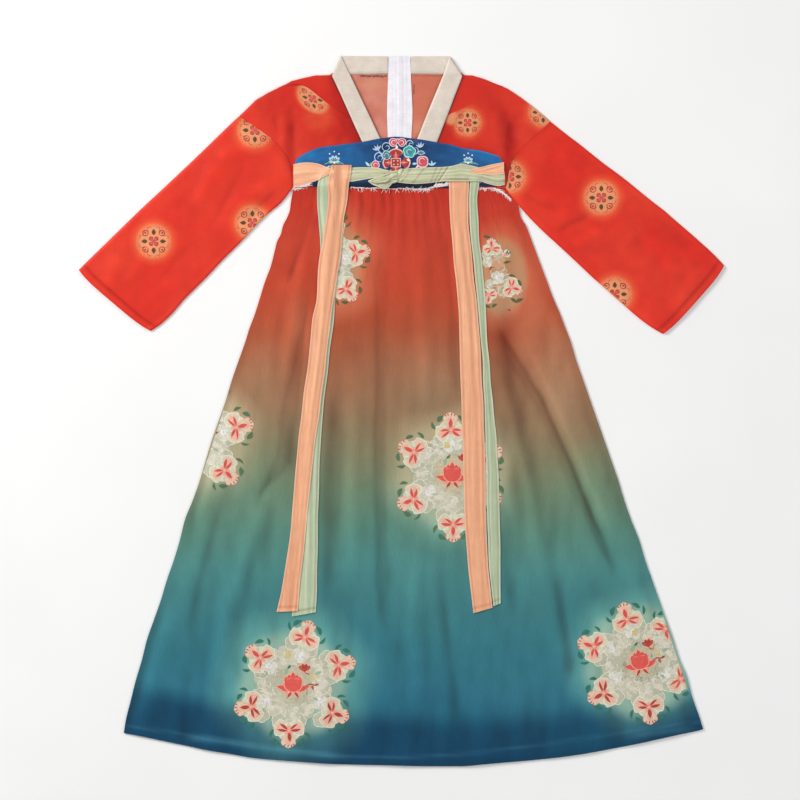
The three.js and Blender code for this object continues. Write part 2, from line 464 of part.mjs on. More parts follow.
// ---------------------------------------------------------------- sleeves
// Flattened tube: the armhole's curve straightens towards the cuff.
function sleeve(name, sections, armhole) {
  const last = armhole.length - 1;
  const side = Math.sign(armhole[0].x);
  const bulge = armhole.map((a, i) => ({
    x: a.x - mix(armhole[0].x, armhole[last].x, i / last),
    y: a.y - mix(armhole[0].y, armhole[last].y, i / last),
  }));
  const outer = [], inner = [];
  sections.forEach((section, k) => {
    const fade = (1 - section.s) ** 2;
    const along = armhole.map((a, i) => {
      const t = i / last;
      const off = k === 0 ? 0.55 : 0;
      return [
        mix(section.upX, section.loX, t) + bulge[i].x * fade + side * off,
        mix(section.upY, section.loY, t) + bulge[i].y * fade - off * 0.6,
      ];
    });
    const [ax, ay] = along[0], [bx, by] = along[last];
    const long = Math.hypot(bx - ax, by - ay), ux = (bx - ax) / long, uy = (by - ay) / long;
    const puff = (i) => (i === 0 || i === last ? 0 : 1);
    const height = (p, i) => SLEEVE_TOP + clothFolds(p[0], p[1]) * puff(i) * (k === 0 ? 0 : 1);
    const inset = (p, i, d) => (i === 0 ? [p[0] + ux * d, p[1] + uy * d] : i === last ? [p[0] - ux * d, p[1] - uy * d] : p);
    const ringOut = [], ringIn = [];
    along.forEach((p, i) => { const q = inset(p, i, SLEEVE_EDGE); ringOut.push([...q, height(p, i)]); });
    along.forEach((p, i) => { const q = inset(p, i, SLEEVE_EDGE + 0.8); ringIn.push([...q, height(p, i) - WALL]); });
    ringOut.push([bx, by, SLEEVE_TOP / 2]); ringIn.push([bx - ux * WALL, by - uy * WALL, SLEEVE_TOP / 2]);
    for (let i = last; i >= 0; i--) {
      ringOut.push([...inset(along[i], i, SLEEVE_EDGE), 0]);
      ringIn.push([...inset(along[i], i, SLEEVE_EDGE + 0.8), WALL]);
    }
    ringOut.push([ax, ay, SLEEVE_TOP / 2]); ringIn.push([ax + ux * WALL, ay + uy * WALL, SLEEVE_TOP / 2]);
    outer.push(ringOut); inner.push(ringIn);
  });
  return tube(name, outer, inner, COLOUR.red, 0.5);
}

// ---------------------------------------------------------------- collar and zip tape
function collar(name, stations) {
  const over = [], under = [];
  const root = 2.2;   // how far the inside of the fold stays from its outer edge
  for (const s of stations) {
    const seam = [s.sx, s.sy], free = [s.fx, s.fy];
    const towards = Math.sign(-s.sx) * root;
    const top = BACK_TOP + GAP;
    if (s.part === 'back') {
      over.push([[...seam, 0], [...free, 0]]);
      under.push([[...seam, COLLAR_WALL], [...free, COLLAR_WALL]]);
    } else if (s.part === 'fold') {
      over.push([[...seam, COLLAR_WALL + 0.15], [...free, COLLAR_WALL + 0.15]]);
      under.push([[s.sx + towards, s.sy, COLLAR_WALL + 0.15], [s.fx + towards, s.fy - 1, COLLAR_WALL + 0.15]]);
    } else if (s.part === 'over') {
      over.push([[...seam, 2 * COLLAR_WALL + GAP + 0.1], [...free, 2 * COLLAR_WALL + GAP + 0.1]]);
      under.push([[...seam, COLLAR_WALL + GAP + 0.1], [...free, COLLAR_WALL + GAP + 0.1]]);
    } else {
      over.push([[...seam, top + COLLAR_WALL], [...free, top + COLLAR_WALL]]);
      under.push([[...seam, top], [...free, top]]);
    }
  }
  return wall(name, over, under, COLOUR.collar, 0.7);
}
function zipTape() {
  const rows = [497.5, 440, 380, 314];
  const half = 15.2;
  const grid = (z) => rows.map((y) => [-half, 0, half].map((x) => [CENTRE_X + x, y, z]));
  return wall('zip_tape', grid(BACK_TOP + GAP + TAPE_WALL), grid(BACK_TOP + GAP), COLOUR.white, 0.7);
}

// ---------------------------------------------------------------- band, trim, belt and ribbons
function chestBand() {
  const over = BAND.map((b) => [0, 0.35, 0.7, 1].map((t) => { const y = mix(BAND_BOTTOM_Y, b.top, t); return [b.x, y, bandTop(b.x, y)]; }));
  const under = over.map((row) => row.map(([x, y, z]) => [x, y, z - WALL]));
  return wall('chest_band', over, under, COLOUR.blue, 0.5);
}
function bandTrim() {
  const low = (t, y) => clear(skirtTop, t.x, y, 6, 4);
  const under = TRIM.map((t) => [[t.x, t.low, low(t, t.low)], [t.x, t.up, low(t, t.up)]]);
  const over = under.map((row) => row.map(([x, y, z]) => [x, y, z + TRIM_WALL]));
  return wall('band_trim', over, under, COLOUR.white, 0.9);
}
// A stretch of the ribbon belt, crowned a little along its middle.
function belt(name, table, base, colour) {
  const under = table.map((b) => [0, 0.5, 1].map((t) => [b.x, mix(b.low, b.up, t), base + b.lift * (t === 0.5 ? 1 : 0.6)]));
  const over = under.map((row, i) => row.map(([x, y, z], j) => [x, y, z + BELT_WALL + (j === 1 ? table[i].lift * 0.5 : 0)]));
  return wall(name, over, under, colour, 0.55);
}
// A hanging ribbon end: it leaves the belt and settles on what lies under it.
function tie(name, table, surface, belted, colour) {
  const under = table.map((row) => [0, 0.5, 1].map((t) => {
    const x = mix(row.l, row.r, t);
    const lying = clear(surface, x, row.y, (row.r - row.l) / 2 + 3, 30);
    const hung = mix(lying, Math.max(belted, lying), smooth((row.y - 262) / 50));
    return [x, row.y, row.y > 311 ? belted : hung];
  }));
  const over = under.map((row) => row.map(([x, y, z]) => [x, y, z + BELT_WALL]));
  return wall(name, over, under, colour, 0.55);
}
const onSkirt = (x, y) => (y > 300 ? FRONT_TOP : skirtTop(x, y));
const overGreenRight = (x, y) => onSkirt(x, y) + GAP + BELT_WALL + 0.5;

// ---------------------------------------------------------------- garment
const hanfu = new THREE.Group();
hanfu.add(
  skirtBack(),
  skirtFront(),
  bodiceBack('bodice_back_right', BACK_RIGHT, CORNER_RIGHT),
  bodiceBack('bodice_back_left', BACK_LEFT, CORNER_LEFT),
  bodiceFront('bodice_front_right', ARMHOLE_RIGHT, FRONT_RIGHT_TOP, CENTRE_X - 0.4),
  bodiceFront('bodice_front_left', ARMHOLE_LEFT, FRONT_LEFT_TOP, CENTRE_X + 0.4),
  sleeve('sleeve_right', SLEEVE_RIGHT, ARMHOLE_RIGHT),
  sleeve('sleeve_left', SLEEVE_LEFT, ARMHOLE_LEFT),
  zipTape(),
  collar('collar_right', COLLAR_RIGHT),
  collar('collar_left', COLLAR_LEFT),
  chestBand(),
  bandTrim(),
  belt('belt_peach_right', BELT_PEACH_RIGHT, BELT_Z, COLOUR.peach),
  belt('belt_green_right', BELT_GREEN_RIGHT, BELT_Z, COLOUR.green),
  belt('belt_green_left', BELT_GREEN_LEFT, BELT_Z + 1.6, COLOUR.green),
  belt('belt_peach_left', BELT_PEACH_LEFT, BELT_Z + 1.6, COLOUR.peach),
  tie('tie_green_right', TIE_GREEN_RIGHT, onSkirt, BELT_Z + BELT_WALL + GAP + 0.2, COLOUR.green),
  tie('tie_peach_right', TIE_PEACH_RIGHT, overGreenRight, BELT_Z + 2 * (BELT_WALL + GAP) + 0.4, COLOUR.peach),
  tie('tie_peach_left', TIE_PEACH_LEFT, onSkirt, TIE_UNDER_Z + 0.2, COLOUR.peach),
  tie('tie_green_left', TIE_GREEN_LEFT, onSkirt, TIE_UNDER_Z + 0.2, COLOUR.green),
);

export default hanfu;
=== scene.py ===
import math
import bpy
import bmesh
import numpy as np
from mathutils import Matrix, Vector
from mathutils.bvhtree import BVHTree
from mathutils.geometry import delaunay_2d_cdt


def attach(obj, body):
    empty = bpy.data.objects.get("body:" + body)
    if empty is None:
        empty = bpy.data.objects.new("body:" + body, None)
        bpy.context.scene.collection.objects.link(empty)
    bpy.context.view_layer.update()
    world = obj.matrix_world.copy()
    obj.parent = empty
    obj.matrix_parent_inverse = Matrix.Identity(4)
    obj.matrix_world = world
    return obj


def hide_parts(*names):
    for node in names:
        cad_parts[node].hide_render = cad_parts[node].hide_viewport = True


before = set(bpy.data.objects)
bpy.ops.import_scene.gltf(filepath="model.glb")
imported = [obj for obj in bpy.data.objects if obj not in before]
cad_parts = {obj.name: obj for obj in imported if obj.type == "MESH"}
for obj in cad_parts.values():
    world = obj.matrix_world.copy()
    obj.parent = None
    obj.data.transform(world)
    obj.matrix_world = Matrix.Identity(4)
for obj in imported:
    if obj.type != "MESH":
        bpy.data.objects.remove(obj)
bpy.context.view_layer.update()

WALL = 0.8          # one layer of cloth as it shows
PI = math.pi

# ------------------------------------------------------------------ small helpers
K = 1.4             # millimetres for one unit of the layout grid
def PX(v): return (np.asarray(v, float) - 401.0) * K
def PY(v): return (410.5 - np.asarray(v, float)) * K
def P(pts): return np.array([[(a - 401.0) * K, (410.5 - b) * K] for a, b in pts])

def smooth(t):
    t = np.clip(t, 0.0, 1.0)
    return t * t * (3 - 2 * t)

def pchip(xs, ys, x):
    xs, ys = np.asarray(xs, float), np.asarray(ys, float)
    if xs[0] > xs[-1]:
        xs, ys = xs[::-1], ys[::-1]
    h = np.diff(xs)
    d = np.diff(ys) / h
    m = np.zeros(len(xs))
    m[0], m[-1] = d[0], d[-1]
    for i in range(1, len(xs) - 1):
        if d[i - 1] * d[i] > 0:
            m[i] = 2 * d[i - 1] * d[i] / (d[i - 1] + d[i])
    x = np.clip(np.asarray(x, float), xs[0], xs[-1])
    i = np.clip(np.searchsorted(xs, x, side="right") - 1, 0, len(xs) - 2)
    t = (x - xs[i]) / h[i]
    return ((1 + 2 * t) * (1 - t) ** 2 * ys[i] + t * (1 - t) ** 2 * h[i] * m[i]
            + t * t * (3 - 2 * t) * ys[i + 1] + t * t * (t - 1) * h[i] * m[i + 1])

def along(pts, n, start=0.0, end=1.0):
    """n points at even steps of length along a polyline."""
    pts = np.asarray(pts, float)
    s = np.concatenate([[0], np.cumsum(np.linalg.norm(np.diff(pts, axis=0), axis=1))])
    t = np.linspace(start, end, n) * s[-1]
    return np.stack([pchip(s, pts[:, k], t) for k in range(pts.shape[1])], 1)

def waves(x, y, scale, seed, stretch=(1.0, 1.0)):
    """Smooth uneven field of about -1 to 1, with bumps of about that scale in mm."""
    r = np.random.RandomState(seed)
    z = 0.0
    for _ in range(12):
        a, f, p = r.uniform(0, 2 * PI), r.uniform(0.55, 1.6), r.uniform(0, 2 * PI)
        z = z + np.sin((x * math.cos(a) / stretch[0] + y * math.sin(a) / stretch[1]) * f * 2 * PI / (2.2 * scale) + p)
    return z / 5.0

def fold_field(X, Y, folds):
    """Soft creases and ridges: (height, width left, width right, sharpness, fade, points)."""
    Z = np.zeros_like(X)
    for high, wl, wr, sharp, fade, pts in folds:
        pts = P(pts)
        seg = np.linalg.norm(np.diff(pts, axis=0), axis=1)
        total, done = seg.sum(), 0.0
        best, side, at = np.full(X.shape, 1e9), np.zeros_like(X), np.zeros_like(X)
        for i in range(len(pts) - 1):
            (ax, ay), (bx, by) = pts[i], pts[i + 1]
            ux, uy = (bx - ax) / seg[i], (by - ay) / seg[i]
            along_ = (X - ax) * ux + (Y - ay) * uy
            lo = -1e9 if i == 0 else 0.0
            hi = 1e9 if i == len(pts) - 2 else seg[i]
            c = np.clip(along_, lo, hi)
            dx, dy = X - (ax + ux * c), Y - (ay + uy * c)
            dist = np.hypot(dx, dy)
            s = np.sign((X - ax) * uy - (Y - ay) * ux)
            use = dist < best
            best = np.where(use, dist, best)
            side = np.where(use, s, side)
            at = np.where(use, (done + c) / total, at)
            done += seg[i]
        w = np.where(side > 0, wl, wr)
        q = best / w
        shape = np.exp(-q ** sharp)
        Z += high * shape * smooth(at / fade) * smooth((1 - at) / fade)
    return Z

def blur(z, n=1, wrap=False):
    for _ in range(n):
        p = np.pad(z, 1, mode="edge")
        z = (p[:-2, 1:-1] + p[2:, 1:-1] + p[1:-1, :-2] + p[1:-1, 2:] + 4 * z) / 8
    return z

def settle(base, n=30):
    """Cloth laid over a height field: it bridges small hollows."""
    z = base.copy()
    for _ in range(n):
        z = np.maximum(base, blur(z))
    return z

# ------------------------------------------------------------------ meshes
def put_mesh(name, verts, faces, mats, face_mat=None, attrs=None, angle=48):
    me = bpy.data.meshes.new(name)
    verts = np.asarray(verts, float)
    me.from_pydata((verts * 0.001).tolist(), [], [tuple(int(i) for i in f) for f in faces])
    for m in mats:
        me.materials.append(m)
    if face_mat is not None:
        me.polygons.foreach_set("material_index", np.asarray(face_mat, np.int32))
    me.polygons.foreach_set("use_smooth", np.ones(len(me.polygons), bool))
    me.set_sharp_from_angle(angle=math.radians(angle))
    for key, val in (attrs or {}).items():
        a = me.attributes.new(key, "FLOAT", "POINT")
        a.data.foreach_set("value", np.asarray(val, np.float32).ravel())
    me.validate()
    me.update()
    ob = bpy.data.objects.new(name + "_cloth", me)
    bpy.context.scene.collection.objects.link(ob)
    return ob

def normals(top):
    du = np.gradient(top, axis=1)
    dv = np.gradient(top, axis=0)
    n = np.cross(dv, du)
    n /= np.linalg.norm(n, axis=2, keepdims=True) + 1e-9
    if n[..., 2].sum() < 0:
        n = -n
    return n

def shell_parts(top, under):
    """Vertices and faces of the closed wall between two grids."""
    R, C, _ = top.shape
    n = R * C
    idx = np.arange(n).reshape(R, C)
    a, b, c, d = idx[:-1, :-1], idx[1:, :-1], idx[1:, 1:], idx[:-1, 1:]
    up = np.stack([a, b, c, d], -1).reshape(-1, 4)
    dn = np.stack([a, d, c, b], -1).reshape(-1, 4) + n
    rim = np.concatenate([idx[0, :], idx[1:, -1], idx[-1, -2::-1], idx[-2:0:-1, 0]])
    nxt = np.roll(rim, -1)
    side = np.stack([rim, nxt, nxt + n, rim + n], -1)
    faces = np.concatenate([up, dn, side])
    verts = np.concatenate([top.reshape(-1, 3), under.reshape(-1, 3)])
    # turn the faces round if the upper grid runs the other way
    e = np.cross(top[1:, :-1] - top[:-1, :-1], top[:-1, 1:] - top[:-1, :-1])[..., 2].sum()
    if e < 0:
        faces = faces[:, ::-1]
    kind = np.concatenate([np.zeros(len(up)), np.ones(len(dn)), np.full(len(side), 2)]).astype(int)
    return verts, faces, kind

def shell(name, top, mats, thick=WALL, under=None, attrs=None, inner=0, rim=0, straight=False):
    if under is None:
        n = normals(top)
        if straight:
            n = np.zeros_like(top)
            n[..., 2] = 1
        under = top - n * thick
    verts, faces, kind = shell_parts(top, under)
    full = {}
    for key, val in (attrs or {}).items():
        v = np.asarray(val, float).ravel()
        full[key] = np.concatenate([v, v])
    fm = np.where(kind == 1, inner, np.where(kind == 2, rim, 0))
    return put_mesh(name, verts, faces, mats, fm, full)

def joined(name, parts, mats):
    """One mesh of several closed walls: (top, under, material of upper, lower and rim faces, attributes)."""
    V, F, M, A, at = [], [], [], {}, 0
    keys = sorted({k for p in parts for k in p[4]})
    for top, under, mu, ml, attrs in parts:
        v, f, kind = shell_parts(top, under)
        V.append(v)
        F.append(f + at)
        M.append(np.where(kind == 1, ml, mu))
        for k in keys:
            x = np.asarray(attrs.get(k, np.zeros(top.shape[:2])), float).ravel()
            A.setdefault(k, []).append(np.concatenate([x, x]))
        at += len(v)
    return put_mesh(name, np.concatenate(V), np.concatenate(F), mats, np.concatenate(M),
                    {k: np.concatenate(A[k]) for k in keys})

class Surface:
    """The upper face of a finished mesh, to lay other things on it."""
    def __init__(self, *obs):
        self.trees = []
        for ob in obs:
            me = ob.data
            co = np.empty(len(me.vertices) * 3)
            me.vertices.foreach_get("co", co)
            polys = [tuple(p.vertices) for p in me.polygons]
            self.trees.append(BVHTree.FromPolygons([Vector(c) for c in co.reshape(-1, 3)], polys))
    def z(self, x, y, miss=0.0):
        best = miss
        for tree in self.trees:
            hit = tree.ray_cast(Vector((x * 0.001, y * 0.001, 0.2)), Vector((0, 0, -1)))[0]
            if hit is not None:
                best = max(best, hit.z * 1000)
        return best
    def grid(self, X, Y, miss=0.0):
        return np.array([self.z(x, y, miss) for x, y in zip(X.ravel(), Y.ravel())]).reshape(X.shape)

# ------------------------------------------------------------------ materials
def lin(rgb):
    c = np.asarray(rgb, float) / 255.0
    v = np.where(c <= 0.04045, c / 12.92, ((c + 0.055) / 1.055) ** 2.4)
    return (float(v[0]), float(v[1]), float(v[2]), 1.0)

class Mat:
    def __init__(self, name, rough=0.6, spec=0.35, sheen=0.15, sheen_rough=0.45, sheen_tint=(255, 255, 255)):
        self.m = bpy.data.materials.new(name)
        self.m.use_nodes = True
        self.t = self.m.node_tree
        self.t.nodes.clear()
        self.out = self.add("ShaderNodeOutputMaterial")
        self.b = self.add("ShaderNodeBsdfPrincipled")
        self.link(self.b.outputs[0], self.out.inputs[0])
        self.b.inputs["Roughness"].default_value = rough
        self.b.inputs["Specular IOR Level"].default_value = spec
        self.b.inputs["Sheen Weight"].default_value = sheen
        self.b.inputs["Sheen Roughness"].default_value = sheen_rough
        self.b.inputs["Sheen Tint"].default_value = lin(sheen_tint)
        co = self.add("ShaderNodeTexCoord").outputs["Object"]
        s = self.add("ShaderNodeVectorMath", operation="SCALE")
        s.inputs["Scale"].default_value = 1000.0
        self.link(co, s.inputs[0])
        self.co = s.outputs[0]          # place in millimetres
    def add(self, kind, **props):
        n = self.t.nodes.new(kind)
        for k, v in props.items():
            setattr(n, k, v)
        return n
    def link(self, a, b):
        self.t.links.new(a, b)
    def put(self, value, socket):
        if isinstance(value, bpy.types.NodeSocket):
            self.link(value, socket)
        else:
            socket.default_value = value
    def attr(self, name):
        return self.add("ShaderNodeAttribute", attribute_name=name).outputs["Fac"]
    def mix(self, fac, a, b, mode="MIX"):
        n = self.add("ShaderNodeMix", data_type="RGBA", blend_type=mode)
        self.put(fac, n.inputs[0])
        self.put(a, n.inputs[6])
        self.put(b, n.inputs[7])
        return n.outputs[2]
    def math(self, op, a, b=0.0, clamp=False):
        n = self.add("ShaderNodeMath", operation=op, use_clamp=clamp)
        self.put(a, n.inputs[0])
        self.put(b, n.inputs[1])
        return n.outputs[0]
    def span(self, v, a, b, c=0.0, d=1.0):
        n = self.add("ShaderNodeMapRange")
        self.put(v, n.inputs[0])
        for i, x in enumerate((a, b, c, d)):
            n.inputs[i + 1].default_value = x
        return n.outputs[0]
    def place(self, scale=(1, 1, 1), turn=0.0):
        n = self.add("ShaderNodeMapping")
        n.inputs["Scale"].default_value = scale
        n.inputs["Rotation"].default_value = (0, 0, turn)
        self.link(self.co, n.inputs["Vector"])
        return n.outputs[0]
    def noise(self, size, detail=2.0, rough=0.5, scale=(1, 1, 1), turn=0.0):
        n = self.add("ShaderNodeTexNoise")
        n.inputs["Scale"].default_value = 1.0 / size
        n.inputs["Detail"].default_value = detail
        n.inputs["Roughness"].default_value = rough
        self.link(self.place(scale, turn), n.inputs["Vector"])
        return n.outputs["Fac"]
    def axis(self, k):
        n = self.add("ShaderNodeSeparateXYZ")
        self.link(self.co, n.inputs[0])
        return n.outputs[k]
    def ramp(self, fac, stops):
        n = self.add("ShaderNodeValToRGB")
        self.link(fac, n.inputs[0])
        e = n.color_ramp.elements
        e[0].position, e[0].color = stops[0][0], lin(stops[0][1])
        e[1].position, e[1].color = stops[-1][0], lin(stops[-1][1])
        for p, c in stops[1:-1]:
            k = e.new(p)
            k.color = lin(c)
        return n.outputs[0]
    def threads(self, period=1.1, turn=0.0, twill=False):
        """Height of a woven cloth: warp and weft crossing at the period, in mm."""
        w = self.place((1, 1, 1), turn)
        n = self.add("ShaderNodeSeparateXYZ")
        self.link(w, n.inputs[0])
        f = 2 * PI / period
        sx = self.math("SINE", self.math("MULTIPLY", n.outputs[0], f))
        sy = self.math("SINE", self.math("MULTIPLY", n.outputs[1], f))
        if twill:
            d = self.math("SINE", self.math("MULTIPLY", self.math("ADD", n.outputs[0], n.outputs[1]), f))
            return self.math("ADD", d, self.math("MULTIPLY", sx, 0.4))
        return self.math("MULTIPLY", sx, sy)
    def bump(self, height, strength=0.3, distance=0.0002, under=None):
        n = self.add("ShaderNodeBump")
        n.inputs["Strength"].default_value = strength
        n.inputs["Distance"].default_value = distance
        self.link(height, n.inputs["Height"])
        if under is not None:
            self.link(under, n.inputs["Normal"])
        return n.outputs[0]
    def finish(self, colour, weave=1.1, turn=0.0, twill=False, slub=0.06, tone=0.05, rough=None,
               bump=0.25, crumple=0.35, tone_size=28.0, slub_scale=(0.12, 1, 1)):
        """Cloth: colour with thread slubs and soft uneven tone, woven bump and fine crumple."""
        slubs = self.noise(1.6, 2.0, 0.6, slub_scale, turn)
        fine = self.noise(1.3, 2.0, 0.6, (1, 0.12, 1), turn)
        grain = self.span(self.math("ADD", slubs, fine), 0.7, 1.3, 1 - slub, 1 + slub)
        patch = self.span(self.noise(tone_size, 3.0, 0.55), 0.3, 0.7, 1 - tone, 1 + tone)
        k = self.math("MULTIPLY", grain, patch)
        rgb = self.add("ShaderNodeCombineColor")
        for i in range(3):
            self.link(k, rgb.inputs[i])
        col = self.mix(1.0, colour, rgb.outputs[0], "MULTIPLY")
        self.put(col, self.b.inputs["Base Color"])
        base = self.b.inputs["Roughness"].default_value if rough is None else rough
        r = self.span(self.noise(6.0, 2.0), 0.3, 0.7, base - 0.05, base + 0.07)
        self.link(r, self.b.inputs["Roughness"])
        soft = self.bump(self.noise(7.0, 3.0, 0.5), crumple, 0.0008)
        w = self.bump(self.math("ADD", self.threads(weave, turn, twill), self.math("MULTIPLY", slubs, 2.0)),
                      bump, 0.00012, soft)
        self.link(w, self.b.inputs["Normal"])
        return self.m
    def shaded(self, colour, deep, key="shade", light=(255, 255, 255), lift=0.10):
        """Painted shade in the bottoms of folds and a little painted highlight on their backs."""
        s = self.attr(key)
        dark = self.span(s, 0.0, -1.0, 0.0, 1.0)
        c = self.mix(dark, colour, deep, "MULTIPLY")
        k = self.span(s, 0.0, 1.0, 1.0, 1.0 + 3.2 * lift)
        rgb = self.add("ShaderNodeCombineColor")
        for i in range(3):
            self.link(k, rgb.inputs[i])
        return self.mix(1.0, c, rgb.outputs[0], "MULTIPLY")

# ------------------------------------------------------------------ tables of the garment
# Skirt side seams: level, left and right edge.
SKIRT_L = [(188, 293.5), (202, 291), (210, 290), (218, 287), (226, 283), (234, 281), (242, 277), (250, 275),
           (266, 271), (282, 265), (298, 260), (314, 255), (330, 249), (340, 246), (360, 239), (380, 232), (400, 226),
           (420, 219), (440, 212), (460, 206), (480, 200), (500, 193), (520, 185), (540, 180), (560, 174), (580, 167),
           (600, 161), (620, 154), (640, 147), (660, 142), (680, 136), (700, 131), (720, 126), (733, 124)]
SKIRT_R = [(188, 506), (195, 513), (203, 517.5), (218, 521), (226, 526), (234, 529), (242, 532), (250, 535),
           (266, 541), (282, 547), (298, 553), (314, 560), (330, 566), (340, 570), (360, 576), (380, 583), (400, 590),
           (420, 597), (440, 604), (460, 611), (480, 618), (500, 624), (520, 631), (540, 639), (560, 645), (580, 652),
           (600, 659), (620, 666), (640, 673), (660, 679), (680, 687), (700, 692), (720, 699), (733, 703)]
HEM = [(124, 733), (136, 735), (160, 740), (184, 745), (208, 750), (232, 754), (256, 758), (292, 761), (340, 764),
       (388, 765), (430, 766), (460, 766), (484, 764), (508, 762), (532, 760), (568, 756), (604, 750), (640, 743),
       (676, 735), (700, 730), (703, 729)]
# Folds of the skirt front: height, half widths left and right, sharpness, fade, points down the skirt.
SKIRT_FOLDS = [
    (-2.6, 11, 9, 1.5, 0.25, [(314, 200), (302, 240), (286, 290)]),
    (2.4, 13, 10, 1.9, 0.3, [(308, 236), (293, 310), (281, 402)]),
    (-3.4, 12, 10, 1.4, 0.22, [(311, 280), (296, 380), (283, 459), (262, 492), (253, 530)]),
    (3.4, 20, 13, 1.9, 0.25, [(276, 455), (252, 530), (224, 612), (212, 700)]),
    (1.8, 16, 16, 1.9, 0.3, [(250, 330), (218, 440), (188, 560)]),
    (-1.8, 12, 14, 1.6, 0.3, [(232, 470), (205, 560), (184, 650)]),
    (-3.4, 9, 12, 1.35, 0.16, [(380, 232), (380, 330), (379, 460), (381, 560), (380, 640)]),
    (2.6, 15, 15, 1.9, 0.25, [(353, 345), (352, 480), (349, 600)]),
    (2.4, 14, 13, 1.9, 0.25, [(418, 214), (421, 310), (424, 408)]),
    (-1.9, 10, 9, 1.5, 0.25, [(443, 200), (452, 310), (459, 420)]),
    (2.0, 15, 15, 1.9, 0.3, [(408, 540), (412, 640), (416, 735)]),
    (-1.6, 12, 12, 1.6, 0.3, [(438, 560), (448, 650), (460, 745)]),
    (-4.0, 12, 9, 1.3, 0.2, [(492, 316), (514, 358), (541, 403), (570, 468), (597, 531), (619, 585)]),
    (3.8, 12, 20, 1.8, 0.25, [(515, 316), (560, 412), (622, 560)]),
    (2.8, 14, 12, 1.9, 0.25, [(496, 360), (526, 485), (542, 592)]),
    (-2.0, 10, 12, 1.6, 0.3, [(500, 480), (506, 552), (512, 625)]),
    (-2.4, 12, 12, 1.6, 0.3, [(552, 560), (564, 628), (574, 700)]),
    (1.9, 16, 15, 1.9, 0.3, [(592, 590), (612, 660), (628, 728)]),
    (1.6, 14, 14, 1.9, 0.3, [(330, 600), (322, 690), (318, 755)]),
    (-1.5, 12, 12, 1.6, 0.3, [(296, 620), (284, 690), (276, 752)]),
    (1.4, 16, 10, 1.9, 0.3, [(170, 600), (152, 672), (142, 730)]),
    (1.5, 13, 13, 1.9, 0.35, [(530, 232), (548, 292), (570, 360)]),
    (-1.4, 10, 10, 1.6, 0.3, [(520, 214), (536, 262), (556, 320)]),
]
# Armholes from the shoulder down, and the folded edges of the sleeves from armhole to cuff.
ARM_R = [(239, 116.5), (256, 127.5), (272, 139.5), (281, 149), (288, 159), (291.5, 172), (292, 181), (292.5, 188.5)]
ARM_L = [(550, 121.5), (541, 131), (529, 142), (520, 150.5), (513, 160), (509, 172), (507.5, 181), (505.5, 188.5)]
SLEEVE_R_UP = [(239, 116.5), (230, 125), (220, 134.6), (210, 144.4), (200, 154), (190, 163.6), (180, 173), (170, 182.4),
               (160, 191.8), (150, 201), (140, 210.4), (130, 220), (120, 229.8), (112, 237.6), (104, 245.4), (96, 253.2), (88, 261), (79, 270)]
SLEEVE_R_LO = [(292.5, 188.5), (280, 204), (268, 214), (256, 226), (244, 239), (232, 251), (220, 263), (208, 276),
               (196, 288), (184, 300), (172, 314), (160, 325), (151, 331)]
SLEEVE_L_UP = [(550, 121.5), (568, 136), (580, 144), (592, 155), (604, 165), (616, 172), (628, 181), (640, 192),
               (652, 202), (664, 210), (676, 222), (688, 232), (700, 242), (712, 252), (724, 265.5)]
SLEEVE_L_LO = [(505.5, 188.5), (515, 200), (532, 221), (544, 233), (556, 243), (568, 254), (580, 266), (592, 278),
               (604, 287), (616, 298), (628, 308), (640, 320), (652, 329), (663, 334)]
SLEEVE_FOLDS = [
    (1.9, 12, 16, 1.8, 0.35, [(222, 158), (204, 189), (190, 214)]),
    (-1.3, 10, 10, 1.6, 0.35, [(246, 160), (228, 196), (206, 238)]),
    (1.2, 12, 12, 1.8, 0.35, [(276, 176), (250, 196), (222, 214)]),
    (-1.5, 7, 8, 1.5, 0.3, [(284, 184), (262, 204), (240, 226)]),
    (1.0, 10, 10, 1.8, 0.3, [(160, 232), (140, 262), (122, 286)]),
    (-0.9, 9, 9, 1.6, 0.3, [(196, 236), (176, 262), (150, 292)]),
    (1.1, 10, 14, 1.8, 0.3, [(258, 140), (238, 150), (212, 160)]),
    (1.3, 10, 12, 1.8, 0.3, [(122, 252), (112, 272), (104, 292)]),
    (-1.6, 9, 9, 1.4, 0.3, [(594, 213), (575, 221), (553, 234)]),
    (1.5, 10, 13, 1.7, 0.3, [(604, 226), (586, 238), (568, 250)]),
    (1.7, 14, 16, 1.8, 0.3, [(640, 232), (663, 255), (676, 282)]),
    (-1.3, 9, 10, 1.5, 0.3, [(516, 188), (540, 204), (566, 212)]),
    (1.1, 12, 12, 1.8, 0.3, [(556, 140), (566, 168), (584, 190)]),
    (-0.7, 12, 11, 1.6, 0.3, [(612, 190), (634, 224), (640, 262)]),
    (1.0, 12, 12, 1.8, 0.3, [(684, 240), (690, 268), (692, 296)]),
    (-0.9, 10, 10, 1.6, 0.3, [(652, 218), (684, 246), (700, 272)]),
]
